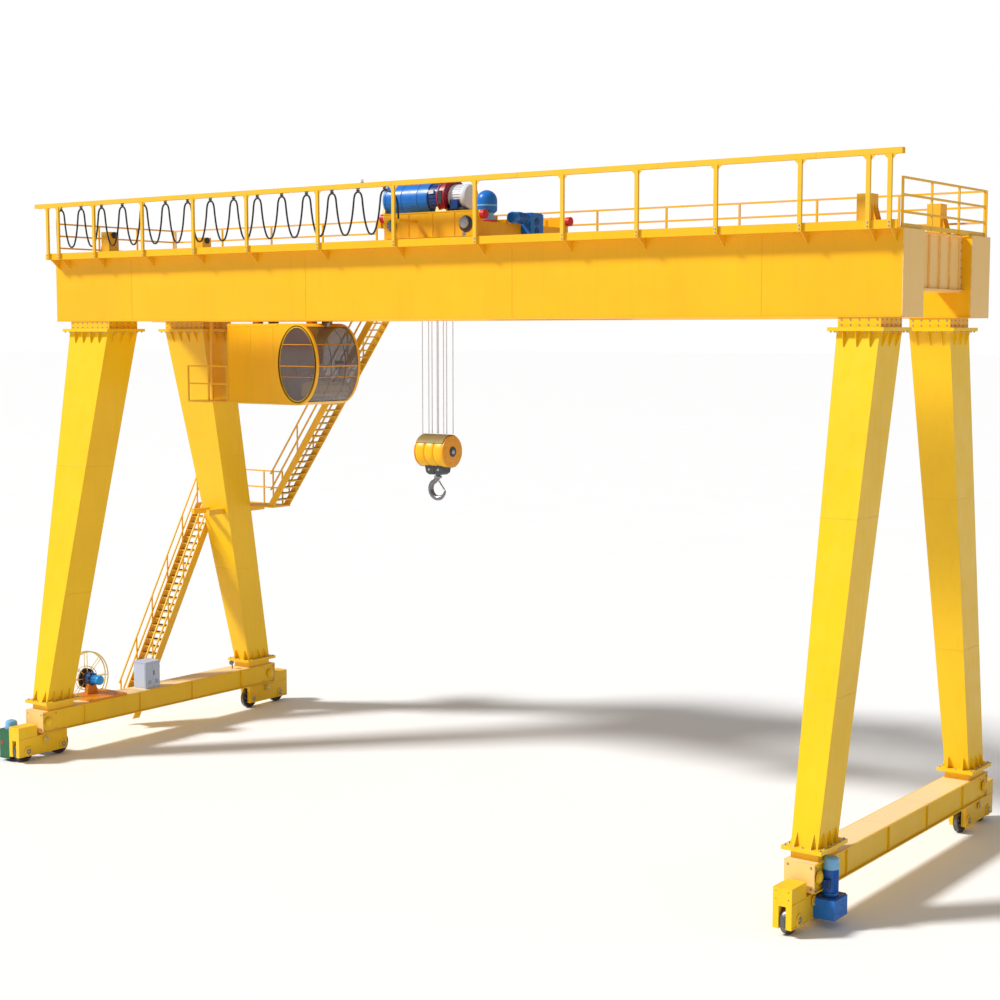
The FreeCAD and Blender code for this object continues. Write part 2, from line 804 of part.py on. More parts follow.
# ---------------------------------------------------------------- trolley
def trolley():
    left = "(0 - trolley_left)"
    carriage_x = (left, "trolley_right")
    wheel_x = (f"({left} + trolley_wheel_inset)", "(trolley_right - trolley_wheel_inset)")
    parts = []
    wheels = []
    for side in (-1, 1):
        middle = out_by(side, GIRDER_MID)
        axle_y = sided(side, (
            f"{GIRDER_MID} - carriage_width / 2", f"{GIRDER_MID} + carriage_width / 2 + side_gap",
        ))
        across = about(middle, "carriage_width")
        beam = box("carriage_beam", carriage_x, across, (CARRIAGE_BOTTOM, CARRIAGE_TOP))
        tools = []
        for x in wheel_x:
            tools.append(box(
                "carriage_pocket", about(x, "2 * trolley_wheel_radius + 2 * side_gap"),
                about(middle, "trolley_wheel_width + 2 * side_gap"),
                (CARRIAGE_BOTTOM, f"{RAIL_TOP} + 2 * trolley_wheel_radius + side_gap"),
            ))
            at = (x, f"{RAIL_TOP} + trolley_wheel_radius")
            tools.append(rod("carriage_bore", "y", "axle_radius + running_gap", across, at))
            tread = about(middle, "trolley_wheel_width")
            wheels.append(fused("trolley_wheel", [
                rod("trolley_tread", "y", "trolley_wheel_radius - running_gap", tread, at),
                rod("trolley_axle", "y", "axle_radius", axle_y, at),
            ]))
        parts.append(cut("carriage", beam, *tools))
        for x in ((f"{left} - buffer_length", left), ("trolley_right", "trolley_right + buffer_length")):
            parts.append(rod("buffer", "x", "buffer_radius", x, (middle, f"{CARRIAGE_TOP} - buffer_drop")))
    reach = f"({GIRDER_MID} - carriage_width / 2)"
    for low in ("trolley_right - cross_width", "cross_left"):
        x = (low, f"{low} + cross_width")
        parts.append(box("cross_beam", x, (f"0 - {reach}", reach), (CROSS_BOTTOM, CROSS_TOP)))
    beam_z = (f"{CROSS_TOP} - lap", HOIST_TOP)
    beam_x = ("0 - drum_left - hoist_overhang", "trolley_right - cross_width / 2")
    for low in ("0 - hoist_front", "hoist_rear"):
        parts.append(box("hoist_beam", beam_x, (low, f"{low} + hoist_beam_width"), beam_z))
    tie_x = (beam_x[0], f"{beam_x[0]} + hoist_beam_width")
    parts.append(box("hoist_tie", tie_x, ("0 - hoist_front", "hoist_rear"), beam_z))
    parts.append(box(
        "rope_plate", about("(0 - hook_place)", "rope_spread + rope_plate_margin"), HOIST_ACROSS,
        (beam_z[0], f"{beam_z[0]} + rope_plate"),
    ))
    parts.append(box(
        "tow_arm", ("tow_place", "tow_place + tow_width"),
        (f"{TRACK_LINE} - tow_lap", f"lap - {GIRDER_MID} - carriage_width / 2"),
        (f"{CARRIAGE_TOP} - tow_drop - tow_width", f"{CARRIAGE_TOP} - tow_drop"),
    ))
    solid_of("trolley_frame", *parts)
    node_of("trolley_wheels", *wheels)


def hoist():
    at = ("0 - drum_out", DRUM_HEIGHT)
    middle = "(0 - drum_out)"
    plate_z = (HOIST_TOP, f"{HOIST_TOP} + seat_plate")
    drum_x = ("0 - drum_left", "0 - drum_right")
    pieces = [rod("drum_barrel", "x", "drum_radius", drum_x, at)]
    for low in (drum_x[0], f"{drum_x[1]} - drum_cheek"):
        x = (low, f"{low} + drum_cheek")
        pieces.append(box("drum_seat", x, HOIST_ACROSS, plate_z))
        cheek_z = (f"{plate_z[1]} - lap", DRUM_HEIGHT)
        pieces.append(box("drum_cheek", x, about(middle, "drum_radius"), cheek_z))
    solid_of("hoist_drum", *pieces)

    brake_x = (drum_x[1], f"{drum_x[1]} + brake_length")
    solid_of(
        "hoist_brake",
        rod("brake_disc", "x", "drum_radius + brake_rim", brake_x, at),
        box("brake_plate", brake_x, HOIST_ACROSS, plate_z),
        box("brake_seat", brake_x, about(middle, "drum_radius"),
            (HOIST_TOP, f"{DRUM_HEIGHT} - drum_radius / 2")),
    )

    motor_x = (brake_x[1], f"{brake_x[1]} + hoist_motor_length")
    seat_x = (f"{motor_x[0]} + motor_foot_inset", f"{motor_x[1]} - motor_foot_inset")
    solid_of(
        "hoist_motor",
        rod("hoist_motor_case", "x", "hoist_motor_radius", motor_x, at),
        box("hoist_motor_plate", seat_x, HOIST_ACROSS, plate_z),
        box("hoist_motor_seat", seat_x, about(middle, "hoist_motor_radius"),
            (HOIST_TOP, f"{DRUM_HEIGHT} - hoist_motor_radius / 2")),
    )

    stand = ("trolley_right - cross_width / 2", "0 - thruster_out")
    thruster_z = (CROSS_TOP, f"{CROSS_TOP} + thruster_height")
    node("brake_thruster", rod("thruster_body", "z", "thruster_radius", thruster_z, stand))

    case = box(
        "trolley_gear_case", ("trolley_right", "trolley_right + gear_length"),
        ("0 - gear_front", "gear_rear"), (f"{CROSS_BOTTOM} + gear_lift", f"{CROSS_TOP} + gear_rise"),
    )
    motor = rod(
        "trolley_gear_motor", "y", "gear_motor_radius",
        ("0 - gear_front - gear_motor_length", "lap - gear_front"),
        ("trolley_right + gear_length / 2", f"{CROSS_TOP} + gear_motor_rise"),
    )
    solid_of("trolley_drive", case, motor)


def hook_block():
    x = "(0 - hook_place)"
    half = "(rope_spread / 2 + block_side)"
    cheek_foot = "(block_height - sheave_radius - block_tail)"
    width = (f"{x} - {half}", f"{x} + {half}")
    sheaves = rod("block_sheaves", "x", "sheave_radius", width, ("0", "block_height"))
    cap = box(
        "block_cap", width, about("0", "2 * rope_row + block_cap_margin"),
        ("block_height + sheave_radius / 2", "block_height + sheave_radius + block_cap"),
    )
    cheeks = [
        box("block_cheek", about(f"({x} + {sign} * ({half} + cheek_plate / 2 - 2 * lap))", "cheek_plate"),
            about("0", "cheek_depth"), (cheek_foot, "block_height + cheek_rise"))
        for sign in (-1, 1)
    ]
    housing_z = (cheek_foot, f"{cheek_foot} + crosshead_height")
    housing = box("block_crosshead", width, about("0", "crosshead_depth"), housing_z)
    bore = rod("shank_bore", "z", "shank_radius + running_gap", housing_z, (x, "0"))
    solid_of("hook_block", sheaves, cap, *cheeks, cut("block_housing", housing, bore))

    neck = f"({cheek_foot} - neck_drop)"
    shank = rod("hook_shank", "z", "shank_radius", (neck, f"{cheek_foot} + shank_grip"), (x, "0"))
    collar_z = (f"{neck} + collar_gap", f"{cheek_foot} - collar_gap")
    collar = rod("hook_collar", "z", "collar_radius", collar_z, (x, "0"))
    bowl = doc.addObject("Part::Torus", "hook_bowl")
    bowl.Placement = Placement(Vector(), Rotation(Vector(0, 1, 0), -90) * Rotation(Vector(1, 0, 0), 90))
    bowl.Angle3 = HOOK_SWEEP
    bowl.setExpression("Radius1", bound("hook_radius"))
    bowl.setExpression("Radius2", bound("hook_thick"))
    bowl.setExpression("Placement.Base.x", bound(x))
    bowl.setExpression("Placement.Base.z", bound(f"{neck} - hook_radius"))
    solid_of("crane_hook", shank, collar, bowl)


HOOK_SWEEP = 250


def hoist_ropes():
    x = "(0 - hook_place)"
    z = ("block_height + sheave_radius + block_cap + running_gap", f"{CROSS_TOP} - lap - running_gap")
    falls = []
    for share in ROPE_PLACES:
        for row in ("0 - rope_row", "rope_row"):
            falls.append(rod("rope_fall", "z", "rope_radius", z, (f"{x} + {share} * rope_spread", row)))
    node_of("hoist_ropes", *falls)


ROPE_PLACES = (-0.5, -0.2, 0.2, 0.5)


# ---------------------------------------------------------------- cab
def ellipse_bar(name, inset, y):
    """The cab's rounded nose run right across, drawn in by an inset."""
    outline = doc.addObject("Part::Ellipse", name + "_outline")
    outline.Placement = Placement(Vector(), Rotation(Vector(1, 0, 0), 90) * Rotation(Vector(0, 0, 1), 90))
    outline.setExpression("MajorRadius", bound(f"cab_height / 2 - ({inset})"))
    outline.setExpression("MinorRadius", bound(f"cab_bow - ({inset})"))
    outline.setExpression("Placement.Base.x", bound(CAB_RIGHT))
    outline.setExpression("Placement.Base.y", bound(y[0]))
    outline.setExpression("Placement.Base.z", bound(f"{CAB_TOP} - cab_height / 2"))
    piece = doc.addObject("Part::Extrusion", name)
    piece.Base = outline
    piece.DirMode = "Custom"
    piece.Dir = Vector(0, 1, 0)
    piece.Solid = True
    piece.setExpression("LengthFwd", bound(f"({y[1]}) - ({y[0]})"))
    return piece


def nose_solid(name, inset):
    """The cab's side outline, square behind and half an ellipse in front, run across the cab."""
    left = value(CAB_LEFT) + inset
    right = value(CAB_RIGHT)
    half_height = size("cab_height") / 2 - inset
    bow = size("cab_bow") - inset
    middle = value(f"{CAB_TOP} - cab_height / 2")
    y = value(CAB_INNER) + inset
    corners = [
        Vector(right, y, middle + half_height), Vector(left, y, middle + half_height),
        Vector(left, y, middle - half_height), Vector(right, y, middle - half_height),
    ]
    tip = Vector(right + bow, y, middle)
    curve = Part.Ellipse(corners[0], tip, Vector(right, y, middle))
    half = Part.Arc(curve, 0, math.pi).toShape()
    lines = [Part.makeLine(start, end) for start, end in zip(corners, corners[1:])]
    face = Part.Face(Part.Wire(Part.__sortEdges__([*lines, half])))
    piece = doc.addObject("Part::Feature", name)
    piece.Shape = face.extrude(Vector(0, size("cab_width") - 2 * inset, 0))
    return piece


def cab():
    wall = "cab_wall"
    x = (CAB_LEFT, CAB_RIGHT)
    y = (CAB_INNER, CAB_OUTER)
    framed = (f"{CAB_INNER} + cab_rim", f"{CAB_OUTER} - cab_rim")
    floor_z = f"({CAB_TOP} - cab_height)"
    room = nose_solid("cab_room", size("cab_wall"))
    side_windows = ellipse_bar("cab_side_window", "cab_rim", (f"{y[0]} - lap", f"{y[1]} + lap"))
    front_z = (f"{floor_z} + cab_rim", f"{CAB_TOP} - cab_rim")
    front = box("cab_front_window", (f"{x[1]} + cab_rim * 2", f"{x[1]} + cab_bow + lap"), framed, front_z)
    door_y = (f"{CAB_INNER} + cab_door_place", f"{CAB_INNER} + cab_door_place + cab_door_width")
    door_z = (f"{floor_z} + {wall}", f"{floor_z} + {wall} + cab_door_height")
    doorway = box("cab_doorway", (f"{x[0]} - lap", f"{x[0]} + {wall} + lap"), door_y, door_z)
    pads = [
        box("cab_pad", about(pad_x, "pad_width"), about(pad_y, "pad_width"), (CAB_TOP, "under_girder"))
        for pad_x in (f"({x[0]} + pad_inset)", f"({x[1]} - pad_inset)")
        for pad_y in (f"({INNER} + pad_margin)", f"({OUTER} - pad_margin)")
    ]
    shell = cut("cab_shell_cut", nose_solid("cab_outside", 0), room, side_windows, front, doorway)
    solid_of("cab_shell", shell, *pads)
    node("cab_door", box("cab_door_leaf", (x[0], f"{x[0]} + {wall}"), door_y, door_z))

    panes = [
        ellipse_bar("side_pane", "cab_rim", (low, f"{low} + glass"))
        for low in (f"{y[0]} + ({wall} - glass) / 2", f"{y[1]} - ({wall} + glass) / 2")
    ]
    bow_out = ellipse_bar("bow_pane_outside", f"({wall} - glass) / 2", framed)
    bow_in = ellipse_bar("bow_pane_inside", f"({wall} + glass) / 2", y)
    bow = doc.addObject("Part::Common", "bow_pane")
    bow.Base = cut("bow_sheet", bow_out, bow_in)
    bow.Tool = box("bow_limits", (f"{x[1]} + cab_rim * 2", f"{x[1]} + cab_bow"), framed, front_z)
    node_of("cab_glazing", *panes, bow)

    seat_x = f"({x[1]} - seat_place)"
    middle = f"(({CAB_INNER} + {CAB_OUTER}) / 2)"
    floor = f"({floor_z} + {wall})"
    pan_z = (f"{floor} + seat_top - seat_thick", f"{floor} + seat_top")
    back_x = (f"{seat_x} - seat_depth / 2", f"{seat_x} - seat_depth / 2 + seat_back_thick")
    seat = fused("cab_seat", [
        rod("seat_post", "z", "seat_post_radius", (floor, f"{pan_z[0]} + lap"), (seat_x, middle)),
        box("seat_pan", about(seat_x, "seat_depth"), about(middle, "seat_depth"), pan_z),
        box("seat_back", back_x, about(middle, "seat_back_width"), (pan_z[0], f"{floor} + seat_back_top")),
    ])
    consoles = [
        box("console", about(f"({seat_x} + console_ahead)", "console_length"),
            about(f"({middle} + {sign} * console_out)", "console_width"),
            (floor, f"{floor} + console_height"))
        for sign in (-1, 1)
    ]
    node_of("cab_seat_and_consoles", seat, *consoles)


def cab_platform():
    """A railed platform behind the cab door, hung from the girder by two bars."""
    floor_z = f"({CAB_TOP} - cab_height)"
    deck_top = f"({floor_z} + deck_plate)"
    deck_x = (f"{CAB_LEFT} - platform_length", CAB_LEFT)
    rail_x = (deck_x[0], f"{CAB_LEFT} - rail_gap")
    tube = "hand_tube"
    parts = [box("platform_deck", deck_x, (CAB_INNER, CAB_OUTER), (floor_z, deck_top))]
    for y in (CAB_INNER, f"({CAB_OUTER} - {tube})"):
        for share in ("1", "0.5"):
            top = f"{deck_top} + guard_height * {share}"
            parts.append(box("platform_rail", rail_x, (y, f"{y} + {tube}"), (f"{top} - {tube}", top)))
        for x in (rail_x[0], f"{deck_x[0]} + platform_length / 2", f"{rail_x[1]} - {tube}"):
            parts.append(box(
                "platform_post", (x, f"{x} + {tube}"), (f"{y} + post_lap", f"{y} + {tube} - post_lap"),
                (f"{deck_top} - lap", f"{deck_top} + guard_height - lap"),
            ))
    for y in (f"{INNER} + hanger_inset", f"{OUTER} - hanger_inset - hanger_width"):
        x = f"{deck_x[0]} + hanger_inset / 2"
        parts.append(box(
            "platform_hanger", (x, f"{x} + hanger_width"), (y, f"{y} + hanger_width"),
            (f"{deck_top} - lap", "under_girder"),
        ))
    solid_of("cab_platform", *parts)


# ---------------------------------------------------------------- stairs
def flight(name, run_axis, foot, head, across, steps):
    """Two stringers with handrails, and level treads between them.

    foot and head are where the stringers' middles meet their ends: a place along the run and a height.
    """
    cross_axis = "y" if run_axis == "x" else "x"
    low, high = across

    def at(share):
        """A place on the stringers' middle line and its height."""
        run = f"({foot[0]} + {share} * ({head[0]} - {foot[0]}))"
        height = f"({foot[1]} + {share} * ({head[1]} - {foot[1]}))"
        return (run, height)

    side_frames = []
    for side_low in (low, f"{high} - stringer_plate"):
        plate = (side_low, f"{side_low} + stringer_plate")
        tube = about(f"({side_low} + stringer_plate / 2)", "hand_tube")
        stringer_z = (foot[1], head[1])
        bars = [leaning(name + "_stringer", run_axis, foot[0], head[0], "stringer_width", plate, stringer_z)]
        for level in ("hand_height", "hand_height / 2"):
            z = (f"{foot[1]} + {level}", f"{head[1]} + {level}")
            bars.append(leaning(name + "_hand", run_axis, foot[0], head[0], "hand_run", tube, z))
        for count in range(POSTS_A_SIDE):
            along, line = at(POST_MARGIN + (1 - 2 * POST_MARGIN) * count / (POSTS_A_SIDE - 1))
            spans = {
                run_axis: about(along, "hand_tube"),
                cross_axis: (f"{plate[0]} + post_lap", f"{plate[1]} - post_lap"),
                "z": (line, f"{line} + hand_height"),
            }
            bars.append(box(name + "_post", *(spans[letter] for letter in "xyz")))
        side_frames.append(fused(name + "_side", bars))
    treads = []
    for count in range(1, steps):
        along, top = at(count / steps)
        spans = {
            run_axis: about(along, "tread_depth"),
            cross_axis: (f"{low} + stringer_plate", f"{high} - stringer_plate"),
            "z": (f"{top} - tread_plate", top),
        }
        treads.append(box(name + "_tread", *(spans[letter] for letter in "xyz")))
    return side_frames, treads


def landing_post(x, y, floor):
    """A guard post at the low corner given, standing in the deck."""
    tube = "hand_tube - post_lap"
    z = (f"{floor} - lap", f"{floor} + guard_height - lap")
    return box("landing_post", (f"{x} + post_lap", f"{x} + {tube}"), (f"{y} + post_lap", f"{y} + {tube}"), z)


def stairs():
    across = (STAIR_OUTER, f"{STAIR_OUTER} + stair_width")
    frames, treads = flight(
        "lower", "y", ("(0 - stair_foot_out)", "stair_foot_height"),
        ("(landing_inner - stringer_width / 2)", "landing_height"), across, LOWER_STEPS,
    )
    bracket_y = "bracket_place - stair_foot_out"
    bracket = box(
        "stair_bracket", (across[1], f"{LEFT} - left_sill_width / 2 + sill_lip"),
        (bracket_y, f"{bracket_y} + bracket_width"),
        (f"{SILL_TOP} - bracket_drop - bracket_height", f"{SILL_TOP} - bracket_drop"),
    )
    node_of("lower_stair_sides", frames[0], fused("lower_inner_side", [frames[1], bracket]))
    node_of("lower_stair_treads", *treads)

    upper = ("landing_outer - stair_width", "landing_outer")
    frames, treads = flight(
        "upper", "x", (f"(stringer_width / 2 + {UPPER_START})", "landing_height"),
        (f"({UPPER_END} - stringer_width / 2)", TOP), upper, UPPER_STEPS,
    )
    node_of("upper_stair_sides", *frames)
    node_of("upper_stair_treads", *treads)


def landings():
    tube = "hand_tube"
    outer_y = (f"landing_outer - {tube}", "landing_outer")
    z = ("landing_height - deck_plate", "landing_height")
    arm_x = (STAIR_OUTER, f"{STAIR_OUTER} + stair_width")
    rail_x = (STAIR_OUTER, f"{UPPER_START} - rail_gap")
    mid = [
        box("landing_arm", arm_x, ("landing_inner", "landing_outer"), z),
        box("landing_back", (STAIR_OUTER, f"stringer_width + {UPPER_START}"),
            (LANDING_BEHIND, "landing_outer"), z),
    ]
    for shift in ("(0 - landing_beam_out)", "landing_beam_out"):
        beam = box(
            "landing_beam", about(f"({LEFT} + {shift})", "beam_width"),
            (LEG_TOP_OUT, "landing_outer - beam_inset"),
            (f"{z[0]} - beam_height", f"{z[0]} + lap"),
        )
        outside = leg("landing_leg", LEFT, 1, "left_top_width", "left_foot_width")
        mid.append(cut("landing_beam_cut", beam, outside))
    for share in ("1", "0.5"):
        top = f"landing_height + guard_height * {share}"
        level = (f"{top} - {tube}", top)
        mid.append(box("landing_rail", rail_x, outer_y, level))
        side_y = ("landing_inner + rail_gap", "landing_outer")
        mid.append(box("landing_rail", (STAIR_OUTER, f"{STAIR_OUTER} + {tube}"), side_y, level))
    bays = [f"{STAIR_OUTER} + {count} * landing_bay" for count in range(3)]
    for x in (*bays, f"{rail_x[1]} - {tube}"):
        mid.append(landing_post(x, outer_y[0], "landing_height"))
    mid.append(landing_post(STAIR_OUTER, "landing_inner + rail_gap", "landing_height"))

    x = (UPPER_END, f"{UPPER_END} + top_landing")
    side_x = (f"{x[1]} - {tube}", x[1])
    deck_z = (f"{TOP} - deck_plate", TOP)
    top_parts = [box("top_deck", x, (OUTER, "landing_outer"), deck_z)]
    for low in (f"{x[0]} + beam_inset", f"{x[1]} - beam_inset - beam_width"):
        top_parts.append(box(
            "top_beam", (low, f"{low} + beam_width"), (OUTER, "landing_outer - beam_inset"),
            (f"{deck_z[0]} - beam_height", f"{deck_z[0]} + lap"),
        ))
    for share in ("1", "0.5"):
        top = f"{TOP} + guard_height * {share}"
        level = (f"{top} - {tube}", top)
        top_parts.append(box("top_rail", x, outer_y, level))
        top_parts.append(box("top_rail", side_x, (f"{OUTER} + rail_gap", "landing_outer"), level))
    for low_x, low_y in ((x[0], outer_y[0]), (side_x[0], outer_y[0]), (side_x[0], f"{OUTER} + rail_gap")):
        top_parts.append(landing_post(low_x, low_y, TOP))
    node_of("stair_landings", fused("mid_landing", mid), fused("top_landing_frame", top_parts))


# ---------------------------------------------------------------- on the left sill
def sill_equipment():
    node("electrical_cabinet", box(
        "cabinet_case", about(LEFT, "cabinet_depth"), about("(0 - cabinet_out)", "cabinet_width"),
        (SILL_TOP, f"{SILL_TOP} + cabinet_height"),
    ))
    at = ("0 - reel_out", REEL_HEIGHT)
    edge = f"({LEFT} - left_sill_width / 2)"
    reel_x = (f"{edge} - reel_gap - reel_width", f"{edge} - reel_gap")
    parts = [cut(
        "reel_hub", rod("reel_hub_rod", "x", "reel_hub_radius", reel_x, at),
        rod("reel_hub_bore", "x", "axle_radius + running_gap", reel_x, at),
    )]
    for low in (reel_x[0], f"{reel_x[1]} - reel_rim"):
        rim_x = (low, f"{low} + reel_rim")
        parts.append(cut(
            "reel_rim_ring", rod("reel_rim_rod", "x", "reel_radius", rim_x, at),
            rod("reel_rim_bore", "x", "reel_radius - reel_rim * 1.5", rim_x, at),
        ))
        for count in range(REEL_SPOKES):
            spoke = box(
                "reel_spoke", (f"{low} + lap", f"{low} + reel_rim - lap"), about("0", "reel_rim"),
                ("reel_hub_radius - 8 * lap", "reel_radius - reel_rim"),
            )
            arm = doc.addObject("Part::Compound", "reel_arm")
            arm.Links = [spoke]
            arm.Placement = Placement(Vector(), Rotation(Vector(1, 0, 0), 360 / REEL_SPOKES * (count + 0.5)))
            arm.setExpression("Placement.Base.y", bound(at[0]))
            arm.setExpression("Placement.Base.z", bound(at[1]))
            parts.append(arm)
    solid_of("cable_reel", *parts)

    deck_top = f"({SILL_TOP} + deck_plate)"
    post_x = (f"{edge} + reel_post_inset", f"{edge} + reel_post_inset + reel_post_length")
    solid_of(
        "reel_stand",
        box("reel_deck", (f"{edge} + reel_deck_inset", f"{LEFT} + left_sill_width / 2"),
            about("(0 - reel_out)", "reel_deck_length"), (SILL_TOP, deck_top)),
        box("reel_post", post_x, about("(0 - reel_out)", "reel_post_width"),
            (f"{deck_top} - lap", f"{REEL_HEIGHT} + reel_post_inset")),
        rod("reel_motor", "x", "reel_motor_radius",
            (f"{edge} + reel_deck_inset * 2", f"{edge} + reel_deck_inset * 2 + reel_motor_length"), at),
        rod("reel_axle", "x", "axle_radius", (f"{reel_x[0]} - reel_axle_end", f"{post_x[0]} + lap"), at),
    )


# ---------------------------------------------------------------- festoon cable
def cable_route():
    """Points of the cable: up from the shelf's left end, in loops under the track, down to the tow arm."""
    pitch = size("loop_pitch")
    depth = size("loop_depth")
    top = value(f"{TRACK_BOTTOM} - carrier_drop")
    start = value(f"loop_inset - {HALF}")
    line = value(TRACK_LINE)
    tail = start - size("tail_inset")
    foot_y = line + size("tail_shift")
    count_of_loops = int(size("loop_count"))
    points = [
        Vector(tail, foot_y, value(f"{TOP} + running_gap")),
        Vector(tail, foot_y, top - 0.8 * depth),
        Vector(tail, line, top - 0.3 * depth),
        Vector(tail + 0.05 * pitch, line, top - 0.06 * depth),
    ]
    for count in range(count_of_loops):
        x = start + count * pitch
        for share, drop in LOOP:
            points.append(Vector(x + share * pitch, line, top - drop * depth))
    end = start + count_of_loops * pitch
    tow_x = value("tow_place + tow_width / 2")
    for share, drop in TOW_TAIL:
        points.append(Vector(end + share * (tow_x - end), line, top - drop * depth))
    points.append(Vector(tow_x, line, value(f"{CARRIAGE_TOP} - tow_drop + running_gap")))
    return points


LOOP = (
    (-0.07, 0.0), (0.07, 0.0), (0.15, 0.10), (0.18, 0.34), (0.25, 0.68), (0.36, 0.93),
    (0.445, 1.0), (0.555, 1.0), (0.64, 0.93), (0.75, 0.68), (0.82, 0.34), (0.85, 0.10),
)
TOW_TAIL = ((-0.14, 0.0), (0.14, 0.0), (0.7, 0.08), (1.0, 0.3))


def tube_along(points, radius):
    """A tube of straight runs joined by tangent arcs as large as the runs allow."""
    edges = []
    radii = []
    spot = points[0]
    for before, corner, after in zip(points, points[1:], points[2:]):
        back = before - corner
        ahead = after - corner
        half_turn = (math.pi - back.getAngle(ahead)) / 2
        reach = ARC_SHARE * min(back.Length, ahead.Length)
        radii.append(reach / math.tan(half_turn))
        into = corner + back.normalize() * reach
        out = corner + ahead.normalize() * reach
        hump = corner + (back + ahead).normalize() * (radii[-1] * (1 / math.cos(half_turn) - 1))
        edges.append(Part.LineSegment(spot, into).toShape())
        edges.append(Part.Arc(into, hump, out).toShape())
        spot = out
    edges.append(Part.LineSegment(spot, points[-1]).toShape())
    path = Part.Wire(edges)
    ring_edge = Part.makeCircle(radius, points[0], points[1] - points[0])
    tube = path.makePipeShell([Part.Wire([ring_edge])], True, False)
    print("cable length", round(path.Length), "by volume", round(tube.Volume / (math.pi * radius ** 2)),
          "smallest radius", round(min(radii)))
    return tube


ARC_SHARE = 0.45


def festoon():
    cable = doc.addObject("Part::Feature", "festoon_tube")
    cable.Shape = tube_along(cable_route(), size("cable_radius"))
    node("festoon_cable", cable)
    z = (f"{TRACK_BOTTOM} - carrier_drop + cable_radius + running_gap", f"{TRACK_BOTTOM} - running_gap")
    carriers = []
    for count in range(int(size("loop_count")) + 1):
        x = f"(loop_inset - {HALF} + {count} * loop_pitch)"
        carriers.append(box("carrier", about(x, "carrier_length"), about(TRACK_LINE, "track_slot"), z))
    node_of("festoon_carriers", *carriers)


bridge()
festoon_frame()
guard_rails()
legs()
sills()
bogies()
travel_drive("left", LEFT, -1, "drive_motor_radius")
travel_drive("right", RIGHT, 1, "drive_motor_radius")
rail_clamp()
trolley()
hoist()
hook_block()
hoist_ropes()
cab()
cab_platform()
stairs()
landings()
sill_equipment()
festoon()
doc.recompute()

for piece in doc.Objects:
    if "Invalid" in piece.State or "Error" in piece.State:
        raise RuntimeError(f"{piece.Label} failed: {piece.State}")
for piece in NODES:
    if piece.Shape.isNull() or not piece.Shape.isValid():
        raise RuntimeError(f"{piece.Label} has no valid shape")

os.makedirs("parts", exist_ok=True)
for piece in NODES:
    piece.Shape.exportStep(f"parts/{piece.Label}.step")
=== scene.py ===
"""Gantry crane: finishes, fittings, ropes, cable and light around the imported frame, in metres."""
import itertools
import json
import math

import bmesh
import bpy
from mathutils import Matrix, Vector


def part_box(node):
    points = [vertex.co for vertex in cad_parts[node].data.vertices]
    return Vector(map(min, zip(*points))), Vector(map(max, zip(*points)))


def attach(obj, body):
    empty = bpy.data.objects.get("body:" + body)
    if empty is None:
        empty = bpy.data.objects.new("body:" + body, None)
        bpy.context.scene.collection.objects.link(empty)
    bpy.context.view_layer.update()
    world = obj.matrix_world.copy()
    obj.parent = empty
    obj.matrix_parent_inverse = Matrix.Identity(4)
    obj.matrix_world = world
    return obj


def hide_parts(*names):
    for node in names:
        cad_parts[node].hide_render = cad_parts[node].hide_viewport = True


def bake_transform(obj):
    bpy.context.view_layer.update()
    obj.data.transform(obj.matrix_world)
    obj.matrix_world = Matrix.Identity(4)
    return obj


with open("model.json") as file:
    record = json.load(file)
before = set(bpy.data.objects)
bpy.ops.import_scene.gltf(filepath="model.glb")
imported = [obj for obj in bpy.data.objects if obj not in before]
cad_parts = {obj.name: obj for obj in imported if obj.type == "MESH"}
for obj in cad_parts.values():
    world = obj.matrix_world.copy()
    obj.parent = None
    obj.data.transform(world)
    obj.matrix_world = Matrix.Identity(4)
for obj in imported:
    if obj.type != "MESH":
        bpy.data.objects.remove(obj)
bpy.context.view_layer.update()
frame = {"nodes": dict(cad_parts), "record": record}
NODES = frame["nodes"]
BODIES = frame["record"]["behaviour"]["bodies"]
HOME = {name: body for body, names in BODIES.items() for name in names}


# ---------------------------------------------------------------- materials
OILY_DIRT = (0.05, 0.045, 0.04)
DRY_DUST = (0.22, 0.20, 0.17)


def new_material(name):
    """An empty node material and its shader."""
    material = bpy.data.materials.new(name)
    material.use_nodes = True
    return material, material.node_tree, material.node_tree.nodes["Principled BSDF"]


def place(tree, stretch=(1, 1, 1)):
    """Object coordinates, stretched."""
    source = tree.nodes.new("ShaderNodeTexCoord")
    mapping = tree.nodes.new("ShaderNodeMapping")
    mapping.inputs["Scale"].default_value = stretch
    tree.links.new(source.outputs["Object"], mapping.inputs["Vector"])
    return mapping.outputs["Vector"]


def noise(tree, vector, scale, detail=4.0, roughness=0.55):
    node = tree.nodes.new("ShaderNodeTexNoise")
    node.inputs["Scale"].default_value = scale
    node.inputs["Detail"].default_value = detail
    node.inputs["Roughness"].default_value = roughness
    tree.links.new(vector, node.inputs["Vector"])
    return node.outputs["Fac"]


def ramp(tree, value, low, high, start, stop):
    """A value between two greys or colours, from one position of the input to another."""
    node = tree.nodes.new("ShaderNodeValToRGB")
    for element, spot, colour in zip(node.color_ramp.elements, (low, high), (start, stop)):
        element.position = spot
        element.color = (*colour, 1) if hasattr(colour, "__len__") else (colour, colour, colour, 1)
    tree.links.new(value, node.inputs["Fac"])
    return node.outputs["Color"]


